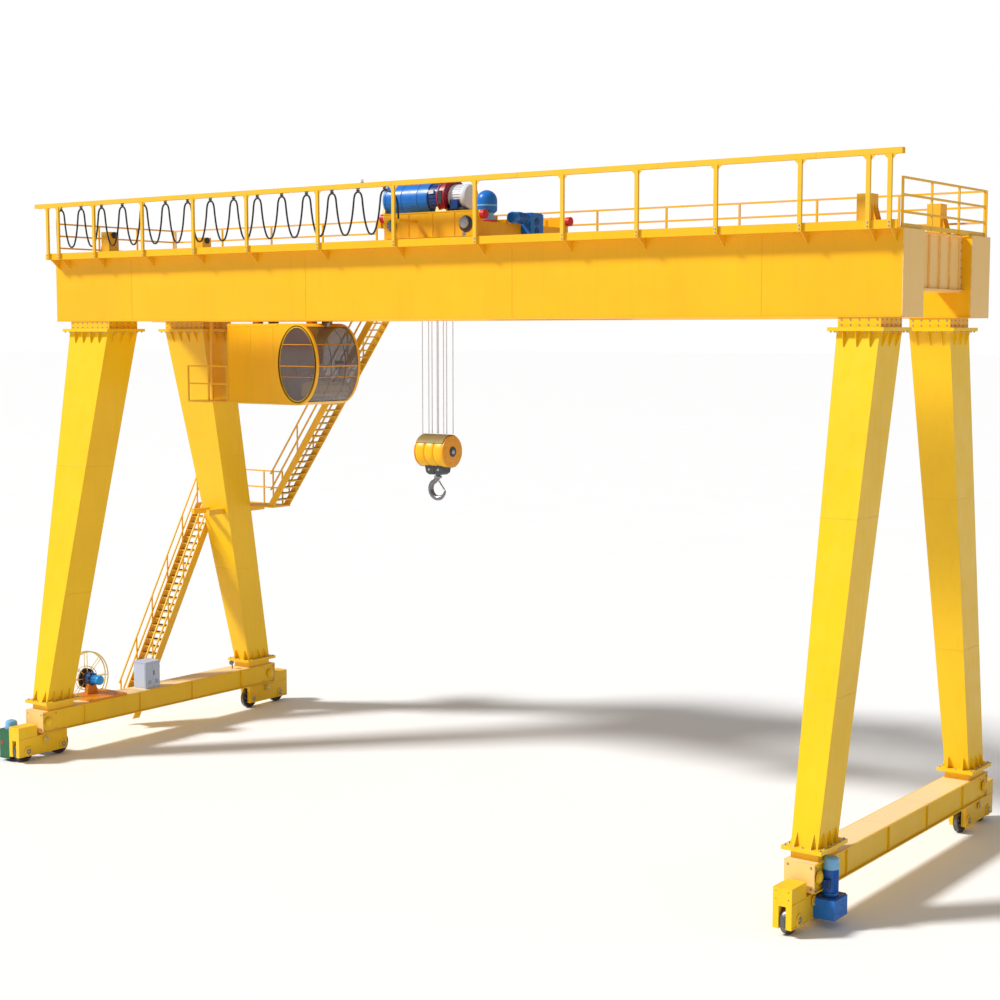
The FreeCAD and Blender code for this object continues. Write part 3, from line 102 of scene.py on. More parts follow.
def mixed(tree, factor, first, second, mode="MIX"):
    """Two colours mixed by a factor; each is a socket or a plain colour."""
    node = tree.nodes.new("ShaderNodeMix")
    node.data_type = "RGBA"
    node.blend_type = mode
    for socket, value in ((node.inputs[0], factor), (node.inputs[6], first), (node.inputs[7], second)):
        if isinstance(value, bpy.types.NodeSocket):
            tree.links.new(value, socket)
        elif hasattr(value, "__len__"):
            socket.default_value = (*value, 1)
        else:
            socket.default_value = value
    return node.outputs[2]


def bumped(tree, shader, height, strength, distance):
    node = tree.nodes.new("ShaderNodeBump")
    node.inputs["Strength"].default_value = strength
    node.inputs["Distance"].default_value = distance
    tree.links.new(height, node.inputs["Height"])
    tree.links.new(node.outputs["Normal"], shader.inputs["Normal"])


def edge_mask(tree, radius):
    """Bright where two faces meet, from the difference that a rounded edge would make."""
    bevel = tree.nodes.new("ShaderNodeBevel")
    bevel.samples = 4
    bevel.inputs["Radius"].default_value = radius
    geometry = tree.nodes.new("ShaderNodeNewGeometry")
    product = tree.nodes.new("ShaderNodeVectorMath")
    product.operation = "DOT_PRODUCT"
    tree.links.new(bevel.outputs["Normal"], product.inputs[0])
    tree.links.new(geometry.outputs["Normal"], product.inputs[1])
    return ramp(tree, product.outputs["Value"], 0.80, 0.995, 1.0, 0.0)


def shaded(colour, factor):
    return tuple(min(1.0, channel * factor) for channel in colour)


def paint(name, colour, rough=0.36, fade=0.10, streak=0.16, worn=None, edge=0.012):
    """Sprayed paint: broad fading, rain streaks down the plates, orange peel and worn edges."""
    material, tree, shader = new_material(name)
    broad = noise(tree, place(tree), 0.55, 5)
    base = mixed(tree, broad, shaded(colour, 1 - fade), shaded(colour, 1 + fade))
    runs = ramp(tree, noise(tree, place(tree, (5, 5, 0.22)), 1.6, 7, 0.62), 0.50, 0.78, 0.0, 1.0)
    base = mixed(tree, mixed(tree, streak, (0, 0, 0), runs), base, shaded(colour, 0.62))
    specks = ramp(tree, noise(tree, place(tree), 26, 3), 0.69, 0.78, 0.0, 0.35)
    base = mixed(tree, specks, base, shaded(colour, 0.55))
    if worn:
        ragged = ramp(tree, noise(tree, place(tree), 7, 6, 0.7), 0.42, 0.60, 0.0, 1.0)
        chips = mixed(tree, 1.0, edge_mask(tree, edge), ragged, "MULTIPLY")
        base = mixed(tree, chips, base, worn)
    tree.links.new(base, shader.inputs["Base Color"])
    gloss = ramp(tree, noise(tree, place(tree), 3.2, 5), 0.3, 0.75, rough - 0.07, rough + 0.14)
    tree.links.new(gloss, shader.inputs["Roughness"])
    shader.inputs["Coat Weight"].default_value = 0.05
    shader.inputs["Specular IOR Level"].default_value = 0.32
    shader.inputs["Coat Roughness"].default_value = 0.25
    bumped(tree, shader, noise(tree, place(tree), 150, 2), 0.10, 0.002)
    return material


def metal(name, colour, rough=0.32, grain=(1, 1, 1), grain_scale=60.0, amount=0.35):
    """Bare or oiled steel with brushed grain and dirt in patches."""
    material, tree, shader = new_material(name)
    shader.inputs["Metallic"].default_value = 0.92
    patches = ramp(tree, noise(tree, place(tree), 6, 6, 0.65), 0.45, 0.75, 0.0, amount)
    lines = noise(tree, place(tree, grain), grain_scale, 3)
    base = mixed(tree, lines, shaded(colour, 0.82), shaded(colour, 1.12))
    tree.links.new(mixed(tree, patches, base, OILY_DIRT), shader.inputs["Base Color"])
    gloss = ramp(tree, lines, 0.3, 0.7, rough - 0.08, rough + 0.16)
    tree.links.new(gloss, shader.inputs["Roughness"])
    bumped(tree, shader, lines, 0.15, 0.0015)
    return material


def rubber(name, colour, rough=0.62):
    """Matt rubber or plastic with dust on it."""
    material, tree, shader = new_material(name)
    dust = ramp(tree, noise(tree, place(tree), 9, 6, 0.7), 0.5, 0.8, 0.0, 0.30)
    mottle = noise(tree, place(tree), 60, 3)
    base = mixed(tree, mottle, shaded(colour, 0.75), shaded(colour, 1.3))
    tree.links.new(mixed(tree, dust, base, DRY_DUST), shader.inputs["Base Color"])
    tree.links.new(ramp(tree, dust, 0, 0.3, rough, rough + 0.2), shader.inputs["Roughness"])
    bumped(tree, shader, mottle, 0.2, 0.002)
    return material


def tinted_glass(name, colour):
    """Dark cab glass with a reflection, a slight tint drift and dust in patches."""
    material, tree, shader = new_material(name)
    drift = noise(tree, place(tree), 1.3, 3)
    tint = mixed(tree, drift, shaded(colour, 0.7), shaded(colour, 1.35))
    dust = ramp(tree, noise(tree, place(tree, (3, 3, 1)), 2.5, 7, 0.7), 0.55, 0.8, 0.0, 0.25)
    tree.links.new(mixed(tree, dust, tint, (0.34, 0.30, 0.25)), shader.inputs["Base Color"])
    tree.links.new(ramp(tree, dust, 0, 0.25, 0.04, 0.30), shader.inputs["Roughness"])
    shader.inputs["Alpha"].default_value = 0.45
    shader.inputs["Specular IOR Level"].default_value = 0.9
    shader.inputs["Coat Weight"].default_value = 0.6
    shader.inputs["Coat Roughness"].default_value = 0.04
    return material


def vinyl(name, colour):
    """Seat cover: pebbled vinyl with painted crease shade, darker and rougher in noise patches."""
    material, tree, shader = new_material(name)
    cells = tree.nodes.new("ShaderNodeTexVoronoi")
    cells.inputs["Scale"].default_value = 180
    tree.links.new(place(tree), cells.inputs["Vector"])
    # noise patches at 0.55 of the colour stand in for shade in creases: painted shade
    crease_shade = ramp(tree, noise(tree, place(tree), 8, 5), 0.4, 0.7, 0.0, 0.4)
    tree.links.new(mixed(tree, crease_shade, colour, shaded(colour, 0.55)), shader.inputs["Base Color"])
    tree.links.new(ramp(tree, crease_shade, 0, 0.4, 0.45, 0.62), shader.inputs["Roughness"])
    bumped(tree, shader, cells.outputs["Distance"], 0.3, 0.001)
    return material


RUST = (0.16, 0.07, 0.03)
M = {
    "girder": paint("girder_yellow", (0.94, 0.475, 0.006), worn=(0.55, 0.33, 0.10)),
    "leg": paint("leg_yellow", (0.95, 0.565, 0.006), worn=(0.55, 0.36, 0.10)),
    "rail": paint("handrail_yellow", (0.88, 0.50, 0.03), fade=0.06, streak=0.08),
    "tan": paint("end_plate_tan", (0.98, 0.60, 0.20), fade=0.08, worn=RUST),
    "orange": paint("reel_orange", (0.80, 0.27, 0.01), fade=0.08),
    # peach for the tops of the sill beams: painted highlight of the sun on their top faces
    "peach": paint("beam_top_painted_highlight", (0.98, 0.70, 0.36), rough=0.5, fade=0.06),
    "slate": paint("crosshead_slate", (0.055, 0.062, 0.068), rough=0.42, worn=(0.2, 0.2, 0.2)),
    "cream": paint("rim_yellow", (0.88, 0.70, 0.25), fade=0.06, streak=0.06),
    "blue": paint("machinery_blue", (0.010, 0.17, 0.62), rough=0.28, streak=0.10, worn=(0.12, 0.14, 0.2)),
    "pale_blue": paint("drum_end_blue", (0.20, 0.48, 0.78), rough=0.3, streak=0.06),
    "sky": paint("reel_motor_blue", (0.02, 0.34, 0.85), rough=0.28, streak=0.05),
    "olive": paint("block_top_olive", (0.27, 0.20, 0.065), rough=0.45, fade=0.16),
    "amber": paint("block_plate_amber", (0.80, 0.34, 0.01), fade=0.10),
    "bright": paint("cab_rim_yellow", (0.93, 0.60, 0.03), fade=0.06, streak=0.06),
    "navy": paint("gear_navy", (0.012, 0.05, 0.22), rough=0.3),
    "red": paint("brake_red", (0.34, 0.012, 0.035), rough=0.32, streak=0.08, worn=(0.2, 0.15, 0.14)),
    "signal_red": paint("buffer_red", (0.62, 0.015, 0.02), rough=0.45, streak=0.05),
    "white": paint("motor_white", (0.74, 0.76, 0.80), rough=0.3, fade=0.05, streak=0.12),
    "cabinet": paint("cabinet_blue", (0.50, 0.57, 0.72), rough=0.4, fade=0.05, streak=0.15),
    "green": paint("clamp_green", (0.020, 0.13, 0.055), rough=0.4, worn=(0.10, 0.14, 0.10)),
    "dark": paint(
        "wheel_black", (0.045, 0.045, 0.05), rough=0.5, fade=0.2, streak=0.2, worn=(0.20, 0.19, 0.18),
    ),
    "grey": paint("fitting_grey", (0.16, 0.17, 0.18), rough=0.45, fade=0.12),
    "steel": metal("worn_steel", (0.42, 0.42, 0.43)),
    "rail_steel": metal("rail_steel", (0.36, 0.36, 0.37), 0.38, (0.15, 8, 8), 14),
    "zinc": metal("zinc_bolt", (0.55, 0.53, 0.48), 0.4, amount=0.2),
    "forged": metal("forged_hook", (0.25, 0.25, 0.27), 0.28, amount=0.45),
    "wire": metal("wire_rope", (0.80, 0.80, 0.82), 0.45, (1, 1, 0.4), 120, amount=0.12),
    "cable": rubber("cable_black", (0.014, 0.014, 0.015)),
    "rubber": rubber("buffer_rubber", (0.03, 0.03, 0.03), 0.7),
    "glass": tinted_glass("cab_glass", (0.16, 0.115, 0.10)),
    "lamp": tinted_glass("lamp_glass", (0.55, 0.55, 0.5)),
    "vinyl": vinyl("seat_vinyl", (0.22, 0.23, 0.24)),
    "grate": paint("tread_yellow", (0.80, 0.47, 0.03), fade=0.15, streak=0.05, worn=(0.28, 0.20, 0.10)),
}
NODE_LOOKS = {
    "girder": ("front_girder", "rear_girder", "front_shelf", "trolley_frame", "cab_shell", "cab_door",
               "hook_block"),
    "leg": ("left_legs", "right_legs", "leg_heads", "leg_feet", "sill_beams", "bogie_hangers",
            "left_front_bogie", "left_rear_bogie", "right_front_bogie", "right_rear_bogie"),
    "rail": ("festoon_posts", "festoon_rail", "guard_rails", "cab_platform", "lower_stair_sides",
             "upper_stair_sides", "stair_landings", "rail_end_stops"),
    "tan": ("beam_end_plates", "end_ties"),
    "grate": ("lower_stair_treads", "upper_stair_treads"),
    "rail_steel": ("trolley_rails", "trolley_wheels"),
    "blue": ("hoist_drum", "brake_thruster", "trolley_drive", "left_travel_drive", "right_travel_drive"),
    "red": ("hoist_brake",),
    "white": ("hoist_motor",),
    "green": ("rail_clamp",),
    "cabinet": ("electrical_cabinet",),
    "orange": ("reel_stand",),
    "cream": ("cable_reel",),
    "glass": ("cab_glazing",),
    "vinyl": ("cab_seat_and_consoles",),
    "forged": ("crane_hook",),
    "wire": ("hoist_ropes",),
    "cable": ("festoon_cable",),
    "grey": ("festoon_carriers",),
    "dark": tuple(name for name in NODES if name.endswith("_wheel")),
}
for look, names in NODE_LOOKS.items():
    for name in names:
        for slot in NODES[name].material_slots:
            slot.link = "DATA"
            slot.material = M[look]
        if not NODES[name].material_slots:
            NODES[name].data.materials.append(M[look])


# ---------------------------------------------------------------- making meshes
class Build:
    """A mesh joined from simple solids, each with one of the build's materials."""

    def __init__(self, *looks):
        self.mesh = bmesh.new()
        self.looks = looks
        self.index = 0

    def use(self, look):
        self.index = self.looks.index(look)
        return self

    def face(self, corners):
        made = self.mesh.faces.new(corners)
        made.material_index = self.index
        return made

    def skin(self, rows):
        """Faces between each ring of vertices and the next."""
        for low, high in zip(rows, rows[1:]):
            for at in range(len(low)):
                self.face((low[at - 1], low[at], high[at], high[at - 1]))

    def loft(self, rings):
        """Skins rings of points, in order, with a cap at each end."""
        rows = [[self.mesh.verts.new(point) for point in ring] for ring in rings]
        self.skin(rows)
        self.face(rows[0][::-1])
        self.face(rows[-1])
        return self

    def box(self, first, last):
        """A block between two opposite corners, given in any order."""
        (x0, x1), (y0, y1), (z0, z1) = [sorted(pair) for pair in zip(first, last)]
        foot = [(x0, y0, z0), (x1, y0, z0), (x1, y1, z0), (x0, y1, z0)]
        return self.loft([foot, [(x, y, z1) for x, y, z in foot]])

    def around(self, centre, axis, radius, sides):
        """A ring of points about an axis."""
        axis = Vector(axis).normalized()
        side = axis.orthogonal().normalized()
        other = axis.cross(side)
        steps = [math.tau * count / sides for count in range(sides)]
        return [Vector(centre) + radius * (side * math.cos(a) + other * math.sin(a)) for a in steps]

    def rod(self, start, end, radius, sides=24):
        start, end = Vector(start), Vector(end)
        return self.loft([self.around(spot, end - start, radius, sides) for spot in (start, end)])

    def turned(self, origin, axis, profile, sides=48):
        """A round solid: profile is (place along the axis, radius) from one end to the other."""
        origin, axis = Vector(origin), Vector(axis).normalized()
        rings = [self.around(origin + axis * along, axis, radius, sides) for along, radius in profile]
        return self.loft(rings)

    def hollow(self, origin, axis, profile, sides=48):
        """A ring-shaped solid: the profile is a closed outline of (place, radius)."""
        origin, axis = Vector(origin), Vector(axis).normalized()
        rings = [self.around(origin + axis * along, axis, radius, sides) for along, radius in profile]
        rows = [[self.mesh.verts.new(point) for point in ring] for ring in rings]
        self.skin([*rows, rows[0]])
        return self

    def prism(self, outline, along):
        along = Vector(along)
        return self.loft([[Vector(p) for p in outline], [Vector(p) + along for p in outline]])

    def bolt(self, at, axis, across=0.036, height=0.022):
        """A hexagon head on its washer."""
        at, axis = Vector(at), Vector(axis).normalized()
        self.rod(at, at + axis * height * 0.25, across * 0.72, 12)
        return self.rod(at + axis * height * 0.25, at + axis * height, across * 0.5, 6)

    def bolts(self, xs, ys, zs, axis, across=0.036, height=0.022):
        """Zinc bolts at every mix of the places given."""
        self.use("zinc")
        for at in itertools.product(xs, ys, zs):
            self.bolt(at, axis, across, height)

    def bolt_ring(self, centre, axis, radius, count, across, height, phase=0.0):
        """Zinc bolts in a circle about an axis that runs along x, y or z."""
        self.use("zinc")
        for turn in range(count):
            a = math.tau * (turn + phase) / count
            reach = [radius * math.cos(a), radius * math.sin(a)]
            reach.insert([abs(part) for part in axis].index(1), 0)
            self.bolt(Vector(centre) + Vector(reach), axis, across, height)

    def sweep(self, points, radius, sides=10):
        """A tube along points, its section carried without twist."""
        points = [Vector(p) for p in points]
        radii = radius if hasattr(radius, "__len__") else [radius] * len(points)
        rings = []
        side = None
        for at, (point, r) in enumerate(zip(points, radii)):
            ahead = points[min(at + 1, len(points) - 1)] - points[max(at - 1, 0)]
            ahead.normalize()
            side = ahead.orthogonal() if side is None else side - ahead * side.dot(ahead)
            side.normalize()
            other = ahead.cross(side)
            turns = [math.tau * count / sides for count in range(sides)]
            rings.append([point + r * (side * math.cos(a) + other * math.sin(a)) for a in turns])
        return self.loft(rings)

    def done(self, name, body, slot, bevel=0.0, replaces=(), segments=2):
        """Makes the object and rides it on its body; the slot argument is not used."""
        bmesh.ops.recalc_face_normals(self.mesh, faces=self.mesh.faces)
        data = bpy.data.meshes.new(name)
        self.mesh.to_mesh(data)
        self.mesh.free()
        for look in self.looks:
            data.materials.append(M[look])
        data.shade_smooth()
        data.set_sharp_from_angle(angle=math.radians(32))
        piece = bpy.data.objects.new(name, data)
        bpy.context.collection.objects.link(piece)
        if bevel:
            rounding = piece.modifiers.new("edges", "BEVEL")
            rounding.width = bevel
            rounding.segments = segments
            rounding.limit_method = "ANGLE"
            rounding.angle_limit = math.radians(35)
            rounding.harden_normals = False
        if body:
            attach(piece, body)
        if replaces:
            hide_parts(*replaces)
        return piece


def node_box(name):
    low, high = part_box(name)
    return Vector(low), Vector(high)


def islands(name):
    """The lowest and highest corner of each separate solid of a CAD node."""
    mesh = NODES[name].data
    parent = list(range(len(mesh.vertices)))

    def root(at):
        while parent[at] != at:
            parent[at] = parent[parent[at]]
            at = parent[at]
        return at

    spots = {}
    for vertex in mesh.vertices:
        key = tuple(round(value, 4) for value in vertex.co)
        parent[vertex.index] = root(spots.setdefault(key, vertex.index))
    for edge in mesh.edges:
        parent[root(edge.vertices[0])] = root(edge.vertices[1])
    groups = {}
    for vertex in mesh.vertices:
        groups.setdefault(root(vertex.index), []).append(vertex.co)
    boxes = []
    for points in groups.values():
        low = Vector([min(p[axis] for p in points) for axis in range(3)])
        high = Vector([max(p[axis] for p in points) for axis in range(3)])
        boxes.append((low, high))
    return sorted(boxes, key=lambda pair: tuple(round(v, 3) for v in (*pair[0], *pair[1])))


def spaced(low, high, pitch):
    """Places between two ends, as near a pitch as fits."""
    count = max(1, round((high - low) / pitch))
    return [low + (high - low) * step / count for step in range(count + 1)]


GIRDER_LOW, GIRDER_HIGH = node_box("front_girder")
REAR_LOW, REAR_HIGH = node_box("rear_girder")
BRIDGE_TOP = GIRDER_HIGH.z
SILL_PLATES_BELOW = 5.0
RIGHT, UP = (1, 0, 0), (0, 0, 1)


# ---------------------------------------------------------------- cable and ropes
CABLE_RADIUS = 0.024
LOOP_PITCH = 0.865
LOOP_DEPTH = 1.05
LOOPS = 14
LOOP = (
    (-0.07, 0.0), (0.07, 0.0), (0.15, 0.10), (0.18, 0.34), (0.25, 0.68), (0.36, 0.93),
    (0.445, 1.0), (0.555, 1.0), (0.64, 0.93), (0.75, 0.68), (0.82, 0.34), (0.85, 0.10),
)
TOW_TAIL = ((-0.14, 0.0), (0.14, 0.0), (0.7, 0.08), (1.0, 0.3))
LOOP_START = GIRDER_LOW.x + 0.645
TRACK_LINE = GIRDER_LOW.y - 0.316
LOOP_TOP = 15.48
TOW_X = 0.095
TOW_TOP = 14.7705


def cable_points():
    """The festoon cable's route: up from the shelf, in loops under the track, down to the tow arm."""
    tail = LOOP_START - 0.2
    points = [
        (tail, TRACK_LINE + 0.016, BRIDGE_TOP + 0.0005),
        (tail, TRACK_LINE + 0.016, LOOP_TOP - 0.8 * LOOP_DEPTH),
        (tail, TRACK_LINE, LOOP_TOP - 0.3 * LOOP_DEPTH),
        (tail + 0.05 * LOOP_PITCH, TRACK_LINE, LOOP_TOP - 0.06 * LOOP_DEPTH),
    ]
    for count in range(LOOPS):
        x = LOOP_START + count * LOOP_PITCH
        for share, drop in LOOP:
            points.append((x + share * LOOP_PITCH, TRACK_LINE, LOOP_TOP - drop * LOOP_DEPTH))
    end = LOOP_START + LOOPS * LOOP_PITCH
    for share, drop in TOW_TAIL:
        points.append((end + share * (TOW_X - end), TRACK_LINE, LOOP_TOP - drop * LOOP_DEPTH))
    return points + [(TOW_X, TRACK_LINE, TOW_TOP)]


def smooth_line(points, resolution):
    """Points of the smooth NURBS line that a route gives."""
    curve = bpy.data.curves.new("route", "CURVE")
    curve.dimensions = "3D"
    spline = curve.splines.new("NURBS")
    spline.points.add(len(points) - 1)
    for spot, point in zip(spline.points, points):
        spot.co = (*point, 1)
    spline.order_u = 3
    spline.use_endpoint_u = True
    spline.resolution_u = resolution
    holder = bpy.data.objects.new("route", curve)
    bpy.context.collection.objects.link(holder)
    bpy.context.view_layer.update()
    line = [vertex.co.copy() for vertex in bpy.data.meshes.new_from_object(holder).vertices]
    bpy.data.objects.remove(holder)
    return line


def blended(piece):
    """Bakes a hanging piece's placement into its mesh."""
    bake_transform(piece)


def festoon():
    """The looped cable and its carriers."""
    line = smooth_line(cable_points(), 4)
    cable = Build("cable").sweep(line, CABLE_RADIUS, 12).done("festoon_cable_run", None, "cable_black")
    blended(cable)
    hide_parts("festoon_cable")

    carriers = Build("grey", "zinc", "rubber")
    for low, high in islands("festoon_carriers"):
        middle = (low + high) / 2
        carriers.use("grey")
        carriers.box((low.x, middle.y - 0.012, middle.z), (high.x, middle.y + 0.012, high.z - 0.012))
        carriers.box((low.x, low.y, high.z - 0.012), (high.x, high.y, high.z - 0.004))
        steps = [math.pi * step / 10 for step in range(11)]
        reach = (high.x - low.x) / 2
        saddle = [(middle.x + reach * math.cos(a), low.y, low.z + 0.03 * math.sin(a)) for a in steps]
        carriers.use("rubber").prism(saddle, (0, high.y - low.y, 0))
        for x in (low.x + 0.02, high.x - 0.02):
            carriers.use("zinc").bolt((x, middle.y - 0.012, middle.z + 0.012), (0, -1, 0), 0.016, 0.01)
    carriers = carriers.done("festoon_carrier_set", None, "carrier_dark", 0.0)
    blended(carriers)
    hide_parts("festoon_carriers")


def hoist_ropes():
    """Eight laid ropes, their strands twisted round, from the drum plate down to the block."""
    build = Build("wire")
    for low, high in islands("hoist_ropes"):
        middle = (low + high) / 2
        rows = 180
        rings = []
        for row in range(rows + 1):
            z = low.z + (high.z - low.z) * row / rows
            twist = math.tau * (z - low.z) / 0.36
            ring = []
            for count in range(12):
                a = math.tau * count / 12
                r = (high.x - low.x) / 2 * (1.0 if count % 2 else 0.84)
                ring.append((middle.x + r * math.cos(a + twist), middle.y + r * math.sin(a + twist), z))
            rings.append(ring)
        build.loft(rings)
    ropes = build.done("laid_ropes", None, "rope_steel", replaces=("hoist_ropes",))
    low, high = node_box("hoist_ropes")
    middle = (low + high) / 2
    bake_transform(ropes)


# ---------------------------------------------------------------- bridge
def girder_fittings():
    """Flange edges, web seams and inspection covers on the two girders."""
    build = Build("girder", "tan", "zinc")
    lip, seam = 0.028, 0.005
    for low, high, out in ((GIRDER_LOW, GIRDER_HIGH, -1), (REAR_LOW, REAR_HIGH, 1)):
        face, inner = (low.y, high.y) if out < 0 else (high.y, low.y)
        middle = (low.z + high.z) / 2
        build.use("girder")
        for z in (low.z, high.z - lip - 0.03):
            build.box((low.x, face, z), (high.x, face + out * lip, z + 0.028))
        for z in (low.z + 0.001, high.z - 0.03):
            build.box((low.x, inner, z), (high.x, inner - out * lip, z + 0.027))
        for x in spaced(low.x + 3.2, high.x - 3.2, 6.6):
            for side, way in ((face, out), (inner, -out)):
                build.box((x - seam, side, low.z + 0.03), (x + seam, side + way * seam, high.z - 0.06))
        if out > 0:
            for x in (low.x + 1.1, high.x - 1.1):
                cover = ((0, 0.26), (0.014, 0.26), (0.018, 0.25))
                build.use("girder").turned((x, face, middle), (0, out, 0), cover, 40)
                build.bolt_ring((x, face + 0.016, middle), (0, out, 0), 0.225, 8, 0.03, 0.016)
    build.done("girder_flanges_and_seams", "gantry", "crane_yellow", 0.003)


def end_plate_fittings():
    """Raised frames, ribs and bolts on the bridge's ends and on the tie boxes between the girders."""
    build = Build("tan", "girder", "zinc")
    for low, high in islands("beam_end_plates"):
        if high.z < SILL_PLATES_BELOW:
            out = -1 if low.y < 0 else 1
            y = (low.y if out < 0 else high.y) - out * 0.004
            xs, zs = (low.x + 0.08, high.x - 0.08), (low.z + 0.08, high.z - 0.08)
            build.bolts(xs, (y,), zs, (0, out, 0), 0.04, 0.016)
            continue
        out = -1 if low.x < 0 else 1
        inside = (high.x if out < 0 else low.x) - out * 0.004
        for y in (low.y + 0.02, high.y - 0.045):
            build.use("tan").box((inside, y, low.z + 0.05), (inside - out * 0.12, y + 0.025, high.z - 0.05))
    for low, high in islands("end_ties"):
        out = -1 if low.x < 0 else 1
        face = low.x if out < 0 else high.x
        build.use("tan")
        for y in spaced(low.y + 0.18, high.y - 0.18, 0.55):
            build.box((face, y - 0.006, low.z + 0.04), (face + out * 0.05, y + 0.006, high.z - 0.04))
        for z in (low.z + 0.03, high.z - 0.055):
            build.box((face, low.y, z), (face + out * 0.06, high.y, z + 0.025))
        rows = spaced(low.z + 0.15, high.z - 0.15, 0.18)
        build.bolts((face,), (low.y + 0.045, high.y - 0.045), rows, (out, 0, 0))
    build.done("bridge_end_ribs", "gantry", "end_plate_tan", 0.003)


def rail_fittings():
    """Rail feet, clips and bolts along both trolley rails, and rubber pads on the end stops."""
    build = Build("rail_steel", "dark", "zinc", "rubber", "signal_red")
    for low, high in islands("trolley_rails"):
        foot, clip = (low.z + 0.0005, low.z + 0.012), (low.z + 0.0125, low.z + 0.028)
        clips = spaced(low.x + 0.4, high.x - 0.4, 0.92)
        for edge, out in ((low.y, -1), (high.y, 1)):
            build.use("rail_steel").box((low.x, edge, foot[0]), (high.x, edge + out * 0.035, foot[1]))
            build.use("dark")
            for x in clips:
                build.box((x - 0.045, edge + out * 0.012, clip[0]), (x + 0.045, edge + out * 0.095, clip[1]))
            build.bolts(clips, (edge + out * 0.062,), (clip[1],), UP, 0.03, 0.02)
    build.done("rail_clips", "gantry", "rail_steel", 0.002)

    stops = Build("rail", "rubber", "zinc")
    pad = ((0, 0.07), (0.008, 0.09), (0.032, 0.095), (0.045, 0.075))
    for low, high in islands("rail_end_stops"):
        out, face, back = (1, high.x, low.x) if low.x < 0 else (-1, low.x, high.x)
        middle = (low + high) / 2
        stops.use("rubber").turned((face, middle.y, high.z - 0.09), (out, 0, 0), pad, 32)
        stops.use("rail")
        for y in (low.y + 0.042, middle.y - 0.008, high.y - 0.058):
            wedge = [(back, y, low.z), (back - out * 0.16, y, low.z), (back, y, high.z - 0.2)]
            stops.prism(wedge, (0, 0.016, 0))
        feet = spaced(low.x + 0.05, high.x - 0.05, 0.11)
        stops.bolts(feet, (low.y - 0.03, high.y + 0.03), (low.z,), (0, 0, 1))
    stops.done("end_stop_buffers", "gantry", "crane_yellow", 0.003)


def festoon_frame_fittings():
    """Post feet with bolts, gussets under the track, a small lamp and the shelf's brackets."""
    build = Build("rail", "zinc", "grey", "lamp")
    track_low, track_high = node_box("festoon_rail")
    shelf_low, shelf_high = node_box("front_shelf")
    for low, high in islands("festoon_posts"):
        middle = (low + high) / 2
        build.bolts((middle.x,), (low.y,), (BRIDGE_TOP + 0.02, BRIDGE_TOP + 0.10), (0, -1, 0), 0.03, 0.018)
        for edge, out in ((low.x, -1), (high.x, 1)):
            corner = [
                (edge, middle.y - 0.006, track_low.z), (edge + out * 0.11, middle.y - 0.006, track_low.z),
                (edge, middle.y - 0.006, track_low.z - 0.11),
            ]
            if track_low.x < corner[1][0] < track_high.x:
                build.use("rail").prism(corner, (0, 0.012, 0))
        under = shelf_low.z
        corners = ((shelf_high.y, under), (shelf_low.y + 0.05, under), (shelf_high.y, under - 0.26))
        build.prism([(middle.x - 0.008, y, z) for y, z in corners], (0.016, 0, 0))
    for y, proud in ((track_low.y, -0.004), (track_high.y, 0.004)):
        for x in spaced(track_low.x + 2, track_high.x - 2, 3.8):
            build.box((x - 0.11, y, track_low.z + 0.012), (x + 0.11, y + proud, track_high.z - 0.012))
    lamp = Vector((-1.05, (track_low.y + track_high.y) / 2, track_high.z))
    build.use("grey").turned(lamp, UP, ((-0.02, 0.045), (0.01, 0.045), (0.02, 0.038)), 24)
    build.use("lamp").turned(lamp, UP, ((0.02, 0.036), (0.07, 0.036), (0.095, 0.02)), 24)
    build.done("festoon_frame_gussets", "gantry", "crane_yellow", 0.002)


def kick_strips():
    """A kick strip along the foot of each run of guard rails."""
    build = Build("rail")
    half = 0.004
    for low, high in islands("guard_rails"):
        middle = (low + high) / 2
        if high.x - low.x > high.y - low.y:
            build.box((low.x, middle.y - half, BRIDGE_TOP), (high.x, middle.y + half, BRIDGE_TOP + 0.10))
        else:
            build.box((middle.x - half, low.y, BRIDGE_TOP), (middle.x + half, high.y, BRIDGE_TOP + 0.10))
    build.done("guard_kick_strips", "gantry", "crane_yellow")


# ---------------------------------------------------------------- legs, sills and bogies
FOOT_Z = 1.58
HEAD_Z = 12.07
LEG_FLANGE = 0.04
BOLT_RIM = 0.09
LEG_OUT = (4.01, 1.85)
LEG_DEEP = (0.92, 1.11)
LEG_WIDE = {"left": (0.63, 1.63), "right": (0.60, 0.96)}
LINES = {"left": -11.69, "right": 12.17}
PIN_OUT = 4.465
PIN_Z = 0.56


def leg_section(line, z):
    """Half width, distance out and half depth of a leg at a height."""
    share = (z - FOOT_Z) / (HEAD_Z - FOOT_Z)
    pairs = (LEG_WIDE[line], LEG_OUT, LEG_DEEP)
    wide, out, deep = [first + (last - first) * share for first, last in pairs]
    return wide / 2, out, deep / 2


def leg_rib(build, line, side, face, along, z, rise):
    """One triangular stiffener between a leg's face and its end flange."""
    thick = 0.014
    points = []
    for height, proud in ((z, -0.04), (z, 0.12), (z + rise * 0.9, 0.02), (z + rise, -0.04)):
        wide, out, deep = leg_section(line, height)
        if face in ("left", "right"):
            sign = -1 if face == "left" else 1
            points.append((LINES[line] + sign * (wide + proud), side * out + along - thick / 2, height))
        else:
            sign = side if face == "outer" else -side
            points.append((LINES[line] + along - thick / 2, side * out + sign * (deep + proud), height))
    build.prism(points, (0, thick, 0) if face in ("left", "right") else (thick, 0, 0))


